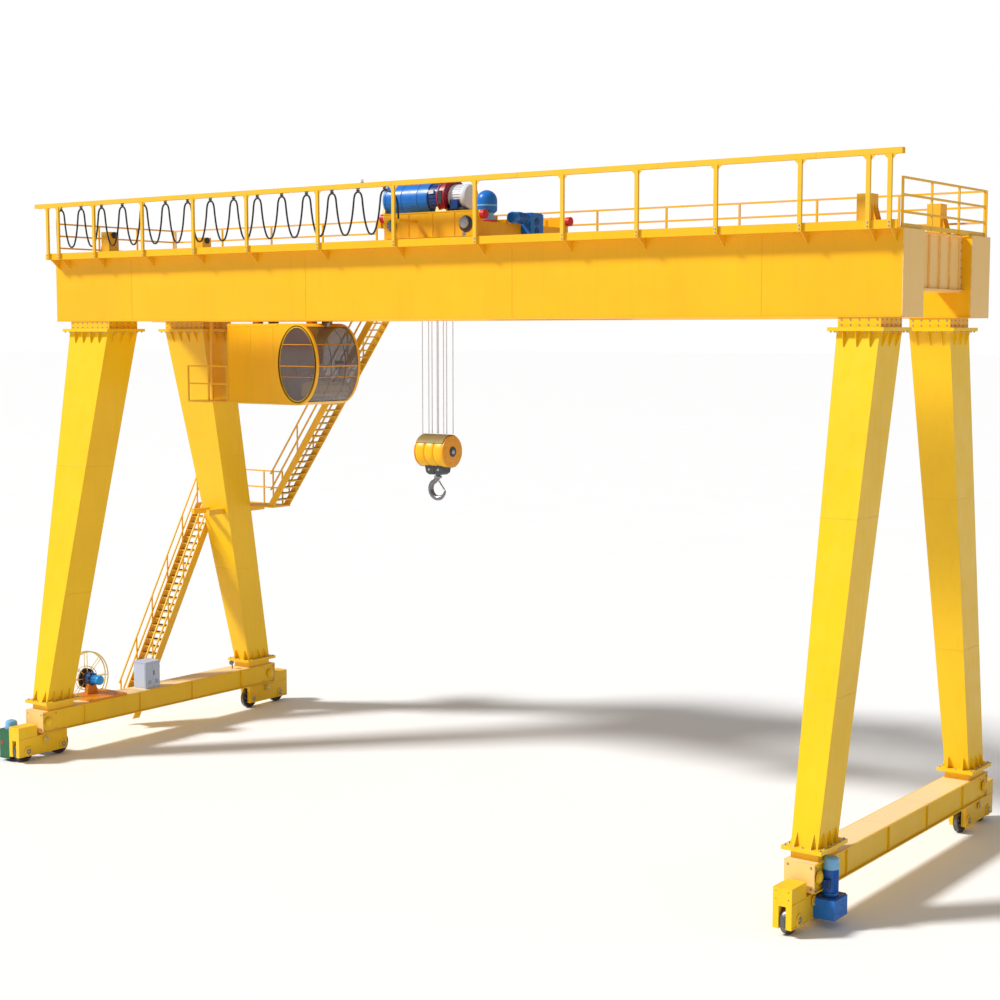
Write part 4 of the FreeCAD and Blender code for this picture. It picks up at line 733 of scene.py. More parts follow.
def leg_fittings():
    """Ribs, flange bolts and plate seams on the four legs."""
    build = Build("leg", "zinc")
    for line, middle in LINES.items():
        for side in (-1, 1):
            for z, rise, up in ((FOOT_Z + LEG_FLANGE, 0.30, 1), (HEAD_Z - LEG_FLANGE, -0.34, -1)):
                wide, out, deep = leg_section(line, z)
                build.use("leg")
                for face in ("left", "right"):
                    for along in spaced(-deep * 0.6, deep * 0.6, 0.3):
                        leg_rib(build, line, side, face, along, z, rise)
                for face in ("inner", "outer"):
                    for along in spaced(-wide * 0.62, wide * 0.62, 0.38):
                        leg_rib(build, line, side, face, along, z, rise)
                x_ends = (middle - wide - BOLT_RIM, middle + wide + BOLT_RIM)
                y_ends = (side * out - deep - BOLT_RIM, side * out + deep + BOLT_RIM)
                build.bolts(spaced(*x_ends, 0.19), y_ends, (z,), (0, 0, up), 0.042, 0.03)
                build.bolts(x_ends, spaced(*y_ends, 0.19)[1:-1], (z,), (0, 0, up), 0.042, 0.03)
            build.use("leg")
            for z in (4.6, 8.2):
                wide, out, deep = leg_section(line, z)
                proud = 0.004
                low = (middle - wide - proud, side * out - deep - proud, z - 0.006)
                build.box(low, (middle + wide + proud, side * out + deep + proud, z + 0.006))
    build.done("leg_ribs_and_bolts", "gantry", "leg_yellow", 0.003)


def head_fittings():
    """Rows of bolts on the boxes that join the legs to the girders."""
    build = Build("leg", "zinc")
    for low, high in islands("leg_heads"):
        corners = [
            vertex.co for vertex in NODES["leg_heads"].data.vertices
            if vertex.co.z > high.z - 0.01 and low.x < vertex.co.x < high.x and low.y < vertex.co.y < high.y
        ]
        x_ends = (min(spot.x for spot in corners), max(spot.x for spot in corners))
        y_ends = (min(spot.y for spot in corners), max(spot.y for spot in corners))
        rows = (low.z + LEG_FLANGE + 0.05, high.z - 0.05)
        for end, out in zip((0, 1), (-1, 1)):
            xs = spaced(x_ends[0] + 0.08, x_ends[1] - 0.08, 0.22)
            build.bolts(xs, (y_ends[end],), rows, (0, out, 0), 0.032, 0.018)
            ys = spaced(y_ends[0] + 0.08, y_ends[1] - 0.08, 0.22)
            build.bolts((x_ends[end],), ys, rows, (out, 0, 0), 0.032, 0.018)
    build.done("head_box_bolts", "gantry", "leg_yellow")


def sill_fittings():
    """Flange lips, seams, pin lugs, painted-highlight top plates and a small lamp on the two sill beams, and
    pins on the hangers.
    """
    build = Build("leg", "zinc", "grey", "peach")
    lip = 0.022
    lug = ((0, 0.135), (0.03, 0.135), (0.04, 0.10), (0.055, 0.10), (0.062, 0.08), (0.07, 0.05))
    for low, high in islands("sill_beams"):
        inset = Vector((0.01, 0.01, 0))
        # a thin peach plate over each beam's top: painted highlight where the sun falls on it
        build.use("peach").box((*(low + inset).xy, high.z - 0.01), (*(high - inset).xy, high.z + 0.003))
        build.use("leg")
        for z in (low.z + 0.001, high.z - 0.026):
            for x0, x1 in ((low.x - lip, low.x + 0.001), (high.x - 0.001, high.x + lip)):
                build.box((x0, low.y, z), (x1, high.y, z + 0.025))
        for y in spaced(low.y + 1.5, high.y - 1.5, 2.1):
            build.box((low.x - 0.004, y - 0.005, low.z + 0.03), (high.x + 0.004, y + 0.005, high.z + 0.003))
        for side, (x, out) in itertools.product((-1, 1), ((low.x, -1), (high.x, 1))):
            pin = (side * PIN_OUT, low.z + 0.30)
            build.use("leg").turned((x - out * 0.01, *pin), (out, 0, 0), lug, 32)
            build.bolt_ring((x + out * 0.018, *pin), (out, 0, 0), 0.116, 6, 0.022, 0.016)
            rows = (low.z + 0.08, high.z - 0.09)
            build.bolts((x,), (side * 4.2, side * 4.6), rows, (out, 0, 0), 0.034, 0.02)
    lamp = Vector((LINES["left"] - 0.02, 3.15, 1.36))
    shade = ((-0.07, 0.03), (-0.02, 0.05), (0.06, 0.075), (0.075, 0.07))
    build.use("grey").rod(lamp, lamp + Vector((0, 0, 0.17)), 0.02, 12)
    build.turned(lamp + Vector((0, 0, 0.2)), (0.3, -1, 0), shade, 24)
    build.done("sill_lips_and_lugs", "gantry", "leg_yellow", 0.002)

    pins = Build("zinc", "leg")
    for low, high in islands("bogie_hangers"):
        side = -1 if low.y < 0 else 1
        for x, out in ((low.x, -1), (high.x, 1)):
            spot = (x - out * 0.002, side * PIN_OUT, PIN_Z)
            pins.use("leg").turned(spot, (out, 0, 0), ((0, 0.105), (0.012, 0.105), (0.014, 0.085)), 32)
            pins.use("zinc").turned(spot, (out, 0, 0), ((0.01, 0.06), (0.03, 0.06), (0.036, 0.05)), 24)
    pins.done("bogie_pins", "gantry", "leg_yellow", 0.002)


def bogie_fittings():
    """Bearing plates with bolts and edge strips on each bogie."""
    ring = ((0, 0.075), (0, 0.14), (0.024, 0.14), (0.030, 0.125), (0.030, 0.075))
    for line, side in itertools.product(LINES, (-1, 1)):
        name = f"{line}_{'front' if side < 0 else 'rear'}_bogie"
        low, high = node_box(name)
        build = Build("leg", "zinc", "rubber")
        for x, out in ((low.x, -1), (high.x, 1)):
            carries_clamp = line == "left" and side < 0 and out < 0
            for place_name in ("inner", "outer"):
                wheel_low, wheel_high = node_box(name.replace("bogie", f"{place_name}_wheel"))
                middle = (wheel_low + wheel_high) / 2
                driven = side < 0 and place_name == "inner" and out * LINES[line] > 0
                if driven or (carries_clamp and place_name == "outer"):
                    continue
                axle = (middle.y, middle.z)
                build.use("leg").hollow((x, *axle), (out, 0, 0), ring, 36)
                build.bolt_ring((x + out * 0.028, *axle), (out, 0, 0), 0.106, 6, 0.02, 0.014, 0.5)
            if not carries_clamp:
                build.use("leg")
                ends = (side * (PIN_OUT + 0.22), side * 5.38)
                for z in (low.z + 0.015, 0.665):
                    build.box((x - out * 0.002, ends[0], z), (x + out * 0.012, ends[1], z + 0.02))
        build.bolts((low.x + 0.07, high.x - 0.07), (side * 5.382,), (0.78, 0.94), (0, side, 0), 0.03, 0.018)
        build.done(f"{name}_bearings", name, "leg_yellow", 0.002)


def wheels():
    """Eight turned travelling wheels: tread, recessed web, hub and axle."""
    half = (
        (0.24, 0.052), (0.10, 0.055), (0.098, 0.10), (0.055, 0.108), (0.034, 0.13), (0.030, 0.215),
        (0.052, 0.245), (0.064, 0.262), (0.064, 0.300), (0.054, 0.310),
    )
    profile = [(-along, radius) for along, radius in half] + list(half[::-1])
    tread = ((-0.052, 0.3085), (-0.05, 0.31), (0.05, 0.31), (0.052, 0.3085), (0.052, 0.30), (-0.052, 0.30))
    cap = ((0, 0.056), (0.042, 0.056), (0.048, 0.045))
    for body in [name for name in BODIES if name.endswith("_wheel")]:
        low, high = node_box(body)
        middle = (low + high) / 2
        build = Build("dark", "steel", "zinc")
        build.turned(middle, RIGHT, profile, 72)
        build.use("steel").hollow(middle, RIGHT, tread, 72)
        for out in (-1, 1):
            build.bolt_ring(middle + Vector((out * 0.031, 0, 0)), (out, 0, 0), 0.17, 8, 0.026, 0.018)
            build.use("steel").turned(middle + Vector((out * 0.2, 0, 0)), (out, 0, 0), cap, 32)
        build.done(f"{body}_turned", body, "wheel_dark", 0.002, replaces=(body,))


def finned(build, centre, axis, radius, length, fins, fin, cap):
    """A motor: ribbed case, end shield and fan cowl, along an axis from its mounting face."""
    axis, centre = Vector(axis), Vector(centre)
    core = radius - fin
    case = ((0, radius), (length * 0.07, radius), (length * 0.09, core), (length * 0.70, core))
    build.turned(centre, axis, case, 40)
    side = axis.orthogonal().normalized()
    other = axis.cross(side)
    start = centre + axis * length * 0.09
    for count in range(fins):
        a = math.tau * count / fins
        out = side * math.cos(a) + other * math.sin(a)
        across = axis.cross(out) * 0.005
        near, far = start + out * (core - 0.01), start + out * (radius - 0.003)
        build.prism((near - across, near + across, far + across, far - across), axis * length * 0.6)
    cowl = ((0.69, 0.985), (0.70, 1.0), (0.90, 1.0), (0.965, 0.93), (1.0, 0.72))
    build.use(cap).turned(centre, axis, [(along * length, share * radius) for along, share in cowl], 40)
    for share in (0.3, 0.5):
        grille = ((0.985, share), (0.999, share), (0.999, share + 0.06), (0.985, share + 0.06))
        build.hollow(centre, axis, [(length * along, radius * wide) for along, wide in grille], 32)


def travel_drives():
    """A worm gear case with an upright ribbed motor on the front bogie of each line."""
    top, shaft = 0.64, 0.36
    cover = ((0, 0.15), (0.03, 0.15), (0.043, 0.12))
    for line, out in (("left", -1), ("right", 1)):
        node = f"{line}_travel_drive"
        low, high = node_box(node)
        middle = (low + high) / 2
        face = low.x if out < 0 else high.x
        build = Build("blue", "navy", "pale_blue", "zinc")
        build.box(low, (high.x, high.y, top - 0.03))
        build.use("navy").box((low.x + 0.02, low.y + 0.02, top - 0.03), (high.x - 0.02, high.y - 0.02, top))
        terminals = (middle.x - 0.08, low.y + 0.06, top + 0.18)
        build.box(terminals, (middle.x + 0.08, middle.y - 0.10, top + 0.36))
        build.use("blue").turned((face - out * 0.045, middle.y, shaft), (out, 0, 0), cover, 36)
        build.bolt_ring((face - out * 0.016, middle.y, shaft), (out, 0, 0), 0.135, 6, 0.018, 0.015)
        build.use("blue")
        finned(build, (middle.x, middle.y, top), UP, 0.165, high.z - top, 28, 0.025, "pale_blue")
        build.done(f"{line}_travel_gear_motor", HOME[node], "machinery_blue", 0.008, replaces=(node,))


def clamp():
    """The rail clamp: a green housing with ribs and a lid, a pale motor cap and a red button."""
    low, high = node_box("rail_clamp")
    lid = 0.90
    centre = Vector(((low.x + high.x) / 2, (low.y + high.y) / 2, lid))
    build = Build("green", "pale_blue", "navy", "signal_red", "zinc")
    build.box((low.x + 0.012, low.y + 0.012, low.z), (high.x, high.y, lid - 0.03))
    build.box((low.x, low.y, lid - 0.035), (high.x, high.y, lid))
    build.box((low.x, low.y, low.z), (high.x, high.y, low.z + 0.03))
    for y in spaced(low.y + 0.1, high.y - 0.1, 0.16):
        build.box((low.x + 0.001, y - 0.006, low.z + 0.03), (low.x + 0.02, y + 0.006, lid - 0.035))
    cap = ((0, 0.176), (0.09, 0.176), (0.10, 0.165), (0.17, 0.165), (0.21, 0.14), (0.235, 0.08))
    build.use("pale_blue").turned(centre, UP, cap, 48)
    build.use("navy").turned(centre + Vector((0, 0, 0.232)), UP, ((0, 0.03), (0.008, 0.026)), 24)
    for turn in range(3):
        a = math.tau * turn / 3 + 0.5
        reach = Vector((math.cos(a), math.sin(a), 0))
        across = Vector((-reach.y, reach.x, 0)) * 0.01
        near = centre + reach * 0.02 + Vector((0, 0, 0.222))
        far = centre + reach * 0.13 + Vector((0, 0, 0.187))
        build.prism((near - across, near + across, far + across, far - across), (0, 0, 0.012))
    button = ((0, 0.05), (0.008, 0.05), (0.013, 0.035))
    build.use("signal_red").turned((low.x + 0.13, low.y + 0.013, 0.52), (0, -1, 0), button, 32)
    build.bolts((low.x + 0.04, high.x - 0.04), (low.y + 0.04, high.y - 0.04), (lid,), UP, 0.03, 0.018)
    build.done("rail_clamp_housing", HOME["rail_clamp"], "clamp_green", 0.008, replaces=("rail_clamp",))


def cabinet():
    """Doors, hinges, handle, vents and a rain lip on the electrical cabinet."""
    low, high = node_box("electrical_cabinet")
    front, middle = high.x, (low.y + high.y) / 2
    build = Build("cabinet", "grey", "zinc")
    lip = 0.015
    build.box((low.x - lip, low.y - lip, high.z - 0.03), (front + lip, high.y + lip, high.z + 0.008))
    build.box((low.x + 0.03, low.y - 0.010, low.z + 0.05), (front - 0.03, low.y + 0.001, high.z - 0.06))
    for y0, y1 in ((low.y + 0.02, middle - 0.004), (middle + 0.004, high.y - 0.02)):
        build.use("cabinet").box((front - 0.001, y0, low.z + 0.05), (front + 0.012, y1, high.z - 0.06))
        for count in range(5):
            z = low.z + 0.14 + count * 0.025
            build.use("grey").box((front + 0.01, y0 + 0.06, z), (front + 0.015, y1 - 0.06, z + 0.01))
    build.box((front + 0.01, middle + 0.02, 1.76), (front + 0.035, middle + 0.045, 1.90))
    for z, y in itertools.product((low.z + 0.15, high.z - 0.18), (low.y + 0.012, high.y - 0.012)):
        build.use("zinc").rod((front + 0.012, y, z - 0.03), (front + 0.012, y, z + 0.03), 0.008, 12)
    build.done("cabinet_doors", "gantry", "cabinet_blue", 0.003)


def hoop(thickness, radius, sides=10):
    """The outline, as (place, radius), of a round tube bent into a hoop."""
    steps = [math.tau * step / sides for step in range(sides)]
    return [(thickness * math.cos(a), radius + thickness * math.sin(a)) for a in steps]


def reel():
    """The cable reel: two thin rims on spokes, wound cable, and its blue torque motor on a pedestal."""
    low, high = node_box("cable_reel")
    centre = (low + high) / 2
    rim = (high.z - low.z) / 2
    tube, wire = 0.020, 0.018
    build = Build("cream", "cable", "zinc", "blue")
    outer = hoop(tube, rim - tube)
    for x in (low.x + tube, high.x - tube):
        spot = Vector((x, centre.y, centre.z))
        build.use("cream").hollow(spot, RIGHT, outer, 96)
        build.hollow(spot, RIGHT, [(along * 0.6, radius * 0.45) for along, radius in outer], 64)
        for turn in range(8):
            a = math.tau * turn / 8
            reach = Vector((0, math.cos(a), math.sin(a)))
            build.rod(spot + reach * 0.10, spot + reach * (rim - tube), 0.012, 10)
    for radius, turn in itertools.product((0.20, 0.236, 0.272), (-1, 0, 1)):
        spot = (centre.x + turn * 2 * wire, centre.y, centre.z)
        build.use("cable").hollow(spot, RIGHT, hoop(wire, radius), 72)
    hub = ((0, 0.10), (0, 0.19), (0.14, 0.19), (0.14, 0.10))
    boss = ((0, 0.06), (0.02, 0.105), (0.13, 0.105), (0.152, 0.06))
    build.use("zinc").hollow((low.x + 0.01, centre.y, centre.z), RIGHT, hub, 48)
    build.turned((low.x + 0.004, centre.y, centre.z), RIGHT, boss, 40)
    build.done("reel_rims_and_cable", "cable_reel", "crane_yellow", replaces=("cable_reel",))

    stand_low, stand_high = node_box("reel_stand")
    deck = stand_low.z + 0.06
    motor = Build("orange", "navy", "sky", "zinc", "dark")
    motor.box(stand_low, (stand_high.x, stand_high.y, deck))
    corners = ((-0.20, deck), (0.20, deck), (0.10, centre.z), (-0.10, centre.z))
    motor.prism([(high.x + 0.06, centre.y + across, z) for across, z in corners], (0.14, 0, 0))
    xs = (stand_low.x + 0.08, high.x + 0.45, stand_high.x - 0.08)
    ys = (stand_low.y + 0.08, centre.y - 0.34, centre.y + 0.34, stand_high.y - 0.08)
    motor.bolts(xs, ys, (deck,), UP, 0.036, 0.024)
    for look, start, disc in (
        ("dark", 0.01, ((0, 0.12), (0.03, 0.17), (0.09, 0.17), (0.10, 0.15))),
        ("navy", 0.08, ((0, 0.15), (0.01, 0.19), (0.14, 0.19), (0.16, 0.15))),
    ):
        motor.use(look).turned((high.x + start, centre.y, centre.z), RIGHT, disc, 40)
    motor.bolt_ring((high.x + 0.222, centre.y, centre.z), RIGHT, 0.172, 8, 0.022, 0.014)
    motor.use("sky")
    finned(motor, (high.x + 0.23, centre.y, centre.z), RIGHT, 0.14, 0.34, 22, 0.02, "sky")
    motor.done("reel_pedestal_and_motor", "gantry", "crane_yellow", 0.003, replaces=("reel_stand",))


# ---------------------------------------------------------------- trolley and hoist
DRUM_Y = -0.45
DRUM_Z = 15.41
DRUM_RADIUS = 0.43
SEAT_Z = 14.88
SEAT_TOP = SEAT_Z + 0.06
HOIST_LOW_Y, HOIST_HIGH_Y = -0.95, 0.60


def base_and_cheek(build, x0, x1, half):
    """A base plate across the hoist beams and the cheek that rises from it to the drum line."""
    build.box((x0, HOIST_LOW_Y, SEAT_Z), (x1, HOIST_HIGH_Y, SEAT_TOP))
    corners = ((-half, SEAT_TOP), (half, SEAT_TOP), (half * 0.6, DRUM_Z), (-half * 0.6, DRUM_Z))
    build.prism([(x0, DRUM_Y + across, z) for across, z in corners], (x1 - x0, 0, 0))


def shaft_fin(build, start, turn, near, far, half, length):
    """One fin that stands out from the hoist's shaft line."""
    reach = Vector((0, math.cos(turn), math.sin(turn)))
    across = Vector((0, -reach.z, reach.y)) * half
    near, far = start + reach * near, start + reach * far
    build.prism((near - across, near + across, far + across, far - across), (length, 0, 0))


def drum():
    """The blue drum cover with rolled bands, a pale dished end, a navy gear end and its cheeks."""
    low, high = node_box("hoist_drum")
    axis = Vector((low.x, DRUM_Y, DRUM_Z))
    gear = high.x - low.x - 0.36
    build = Build("blue", "pale_blue", "navy", "zinc", "girder", "white", "wire")
    band = ((0, 0.415), (0.01, 0.428), (0.05, 0.428), (0.06, 0.418), (0.3, 0.421))
    shell = [(0.09, 0.415)]
    shell += [(start + along, radius) for start in (0.10, 0.62, 1.14) for along, radius in band]
    shell += [(gear - 0.02, 0.418), (gear, 0.418)]
    dish = ((0.0, 0.16), (0.012, 0.30), (0.035, 0.39), (0.07, 0.425), (0.09, 0.43), (0.10, 0.43))
    case = ((0, 0.43), (0.03, 0.43), (0.04, 0.405), (0.30, 0.405), (0.31, 0.43), (0.358, 0.43))
    build.turned(axis, RIGHT, shell, 72)
    build.use("pale_blue").turned(axis, RIGHT, dish, 64)
    build.use("navy").turned(axis, RIGHT, ((-0.014, 0.10), (-0.010, 0.12), (0.03, 0.12)), 32)
    build.turned(axis, RIGHT, [(gear + along, radius) for along, radius in case], 64)
    ribs = axis + Vector((gear + 0.04, 0, 0))
    for count in range(16):
        shaft_fin(build, ribs, math.tau * count / 16, 0.40, 0.425, 0.006, 0.26)
    panel = axis + Vector((gear + 0.07, -0.428, 0.10))
    build.use("white").box(panel, panel + Vector((0.16, 0.098, 0.09)))
    build.bolt_ring(axis + Vector((0.014, 0, 0)), (-1, 0, 0), 0.30, 12, 0.03, 0.014)
    build.use("girder")
    base_and_cheek(build, low.x, low.x + 0.10, DRUM_RADIUS)
    base_and_cheek(build, high.x - 0.10, high.x, DRUM_RADIUS)
    ys = (HOIST_LOW_Y + 0.05, HOIST_LOW_Y + 0.13, HOIST_HIGH_Y - 0.13, HOIST_HIGH_Y - 0.05)
    build.bolts((low.x + 0.05, high.x - 0.05), ys, (SEAT_TOP,), UP, 0.032, 0.02)
    build.done("drum_cover_and_gear", "trolley", "machinery_blue", 0.006, replaces=("hoist_drum",))


def brake():
    """The dark red brake housing with its rim bands, bolts and base."""
    low, high = node_box("hoist_brake")
    width = high.x - low.x
    build = Build("red", "dark", "zinc", "girder")
    band = ((0, 0.44), (0.01, 0.487), (0.05, 0.49), (0.06, 0.465))
    rim = [*band, *[(width - along, radius) for along, radius in band[::-1]]]
    build.turned((low.x, DRUM_Y, DRUM_Z), RIGHT, rim, 72)
    build.bolt_ring((low.x + 0.052, DRUM_Y, DRUM_Z), RIGHT, 0.476, 18, 0.018, 0.012)
    low_corner = (low.x + 0.07, DRUM_Y - 0.486, DRUM_Z - 0.16)
    build.use("dark").box(low_corner, (high.x - 0.07, DRUM_Y - 0.40, DRUM_Z + 0.16))
    base_and_cheek(build.use("girder"), low.x, high.x, DRUM_RADIUS)
    build.done("brake_housing", "trolley", "brake_red", 0.004, replaces=("hoist_brake",))


def hoist_motor():
    """The white hoist motor: smooth upper case, grey ribbed lower half, cowl, terminal box and foot."""
    low, high = node_box("hoist_motor")
    length = high.x - low.x
    radius = 0.33
    axis = Vector((low.x, DRUM_Y, DRUM_Z))
    build = Build("white", "grey", "dark", "zinc", "girder", "navy")
    case = (
        (0, 0.30), (0.01, 0.325), (0.04, 0.33), (0.06, 0.305), (0.38, 0.305), (0.40, 0.33), (0.46, 0.33),
        (0.52, 0.30), (length - 0.01, 0.20), (length, 0.12),
    )
    build.turned(axis, RIGHT, case, 64)
    for count in range(30):
        turn = math.tau * count / 30
        build.use("grey" if math.sin(turn) < -0.2 else "white")
        shaft_fin(build, axis + Vector((0.06, 0, 0)), turn, radius - 0.035, radius - 0.004, 0.005, 0.32)
    terminals = axis + Vector((0.10, -0.36, -0.30))
    build.use("navy").box(terminals, terminals + Vector((0.24, 0.16, 0.22)))
    foot = (low.x + 0.03, DRUM_Y - 0.32, SEAT_TOP)
    build.use("dark").box(foot, (high.x - 0.06, DRUM_Y + 0.32, DRUM_Z - 0.27))
    build.use("girder").box((low.x + 0.02, HOIST_LOW_Y, SEAT_Z), (high.x - 0.02, HOIST_HIGH_Y, SEAT_TOP))
    xs, ys = (low.x + 0.08, high.x - 0.10), (DRUM_Y - 0.40, DRUM_Y + 0.40)
    build.bolts(xs, ys, (SEAT_TOP,), UP, 0.035, 0.022)
    build.done("hoist_motor_case", "trolley", "motor_white", 0.005, replaces=("hoist_motor",))


def thruster():
    """The brake thruster beside the motor: a domed blue case on a pale foot with a red seat."""
    low, high = node_box("brake_thruster")
    middle = (low + high) / 2
    foot = (middle.x, middle.y, low.z)
    build = Build("blue", "pale_blue", "signal_red", "zinc")
    dome = [(0.22, 0.20), (0.26, 0.245), (0.30, 0.257), (0.52, 0.257)]
    rise = [math.pi / 2 * step / 8 for step in range(1, 8)]
    dome += [(0.52 + 0.26 * math.sin(a), 0.257 * math.cos(a)) for a in rise] + [(0.78, 0.02)]
    build.use("signal_red").turned(foot, UP, ((0, 0.255), (0.035, 0.255), (0.045, 0.23)))
    build.use("pale_blue").turned(foot, UP, ((0.04, 0.20), (0.06, 0.20), (0.18, 0.17), (0.26, 0.20)))
    build.hollow(foot, UP, ((0.38, 0.25), (0.385, 0.2598), (0.42, 0.2598), (0.425, 0.25)), 56)
    build.use("blue").turned(foot, UP, dome, 56)
    build.bolt_ring((middle.x, middle.y, low.z + 0.035), UP, 0.225, 10, 0.026, 0.018)
    build.done("thruster_case", "trolley", "machinery_blue", 0.004, replaces=("brake_thruster",))


def trolley_drive():
    """The trolley's upright gear case and its ribbed motor lying across it."""
    low, high = node_box("trolley_drive")
    middle = (low + high) / 2
    case_y = -0.10
    build = Build("blue", "navy", "pale_blue", "zinc")
    build.box((low.x, case_y, low.z), (high.x, high.y, high.z - 0.03))
    build.box((low.x + 0.02, case_y + 0.03, high.z - 0.03), (high.x - 0.02, high.y - 0.03, high.z))
    for z in (low.z + 0.10, high.z - 0.22):
        cover = ((0, 0.10), (0.012, 0.10), (0.016, 0.08))
        build.use("navy").turned((high.x - 0.006, (case_y + high.y) / 2, z), RIGHT, cover, 32)
    ys = spaced(case_y + 0.04, high.y - 0.04, 0.11)
    zs = spaced(low.z + 0.04, high.z - 0.07, 0.14)
    build.bolts((high.x - 0.012,), ys[:1], zs, RIGHT, 0.02, 0.012)
    build.bolts((high.x - 0.012,), ys[1:], zs[:1], RIGHT, 0.02, 0.012)
    build.use("blue")
    flange = case_y + 0.005
    finned(build, (middle.x, flange, 14.83), (0, -1, 0), 0.145, flange - low.y, 24, 0.02, "blue")
    build.use("pale_blue").box((low.x + 0.09, low.y + 0.25, 14.955), (high.x - 0.09, low.y + 0.42, 14.98))
    build.done("trolley_gear_motor", "trolley", "machinery_blue", 0.005, replaces=("trolley_drive",))


def trolley_fittings():
    """Wheel covers, buffers, flange edges, bolts and stiffeners on the trolley frame."""
    build = Build("girder", "steel", "dark", "grey", "signal_red", "zinc", "orange")
    bottom, top = 14.33, node_box("trolley_frame")[1].z
    axle_z = 14.66
    plate = ((0, 0.20), (0.02, 0.20), (0.025, 0.185))
    cover = ((0, 0.145), (0.05, 0.145), (0.065, 0.125), (0.07, 0.06))
    pad = ((-0.12, 0.113), (0.0, 0.118), (0.004, 0.09))
    for side in (-1, 1):
        inner, middle, outer = side * 1.67, side * 1.83, side * 1.99
        edge = outer + side * 0.014
        build.use("girder")
        for z in (bottom + 0.004, top - 0.03):
            build.box((-0.94, outer, z), (1.93, edge, z + 0.024))
        for x in (-0.14, 0.62, 1.30):
            build.box((x - 0.008, outer, bottom + 0.03), (x + 0.008, edge, top - 0.03))
        build.use("dark").turned((1.65, outer - side * 0.005, axle_z - 0.03), (0, side, 0), plate, 40)
        for x, look in ((1.62, "steel"), (-0.68, "grey")):
            build.use(look).turned((x, outer - side * 0.005, axle_z), (0, side, 0), cover, 40)
            build.bolt_ring((x, outer + side * 0.06, axle_z), (0, side, 0), 0.105, 6, 0.022, 0.014)
        for x, out in ((-1.14, -1), (2.13, 1)):
            back, front = x - out * 0.195, x - out * 0.175
            build.use("signal_red").turned((x, middle, 14.855), (out, 0, 0), pad, 36)
            build.use("girder").box((back, middle - 0.15, 14.72), (front, middle + 0.15, 14.955))
        build.bolts(spaced(-0.84, 1.83, 0.24), (side * 1.73,), (top - 0.004,), UP, 0.028, 0.018)
        build.use("orange").box((1.44, inner, 14.40), (1.50, inner - side * 0.012, 14.90))
    build.use("girder")
    for x, y in itertools.product(spaced(-1.9, 1.6, 0.5), (-1.0, -0.79, 0.39, 0.60)):
        build.box((x - 0.006, y, 14.705), (x + 0.006, y + 0.05, 14.875))
    build.done("trolley_fittings", "trolley", "crane_yellow", 0.003)


# ---------------------------------------------------------------- hook block and hook
def block():
    """The hook block: sheaves between round side plates, a top guard and a tapered crosshead."""
    low, high = node_box("hook_block")
    x = (low.x + high.x) / 2
    z = 8.9
    half, sheave = 0.45, 0.30
    build = Build("girder", "amber", "olive", "slate", "zinc", "steel")
    rim = (
        (0.0, 0.385), (0.012, 0.408), (0.03, 0.418), (0.10, 0.42), (0.20, 0.42), (0.27, 0.418),
        (0.288, 0.408), (sheave, 0.385),
    )
    for count in range(3):
        build.turned((x - half + count * sheave, 0, z), RIGHT, rim, 64)
    guard = [math.radians(a) for a in range(28, 153, 8)]
    outer = [(low.x + 0.05, 0.44 * math.cos(a), z + 0.448 * math.sin(a)) for a in guard]
    inner = [(low.x + 0.05, 0.42 * math.cos(a), z + 0.425 * math.sin(a)) for a in guard[::-1]]
    build.use("olive").prism(outer + inner, (high.x - low.x - 0.10, 0, 0))
    plate = ((-0.01, 0.40), (0.0, 0.42), (0.028, 0.42), (0.038, 0.405), (0.04, 0.39))
    hub = ((0.0, 0.135), (0.055, 0.135), (0.062, 0.12))
    pin = ((0.05, 0.06), (0.068, 0.06), (0.072, 0.05))
    strap = ((-0.2, 8.66), (0.2, 8.66), (0.15, 8.50), (-0.15, 8.50))
    levels = ((8.285, 0.20, 0.13), (8.34, 0.27, 0.165), (8.50, 0.29, 0.19), (8.66, 0.29, 0.20))
    for out in (-1, 1):
        face = x + out * half
        build.use("amber").turned((face, 0, z), (out, 0, 0), plate, 64)
        build.use("slate").turned((face, 0, z), (out, 0, 0), hub, 40)
        build.use("steel").turned((face, 0, z), (out, 0, 0), pin, 32)
        build.bolt_ring((face + out * 0.030, 0, z), (out, 0, 0), 0.32, 8, 0.03, 0.010, 0.5)
        start = face - out * 0.30
        build.use("slate").prism([(start, y, height) for y, height in strap], (out * 0.334, 0, 0))
        rings = []
        for height, reach, deep in levels:
            near, far = x + out * 0.012, x + out * reach
            corners = ((near, -deep), (far, -deep), (far, deep), (near, deep))
            rings.append([(*corner, height) for corner in corners])
        build.loft(rings)
        for way in (-1, 1):
            build.bolts((x + out * 0.15,), (way * 0.178,), (8.42,), (0, way, 0), 0.05, 0.03)
    build.done("hook_block_assembly", "hook_block", "crane_yellow", 0.004, replaces=("hook_block",))


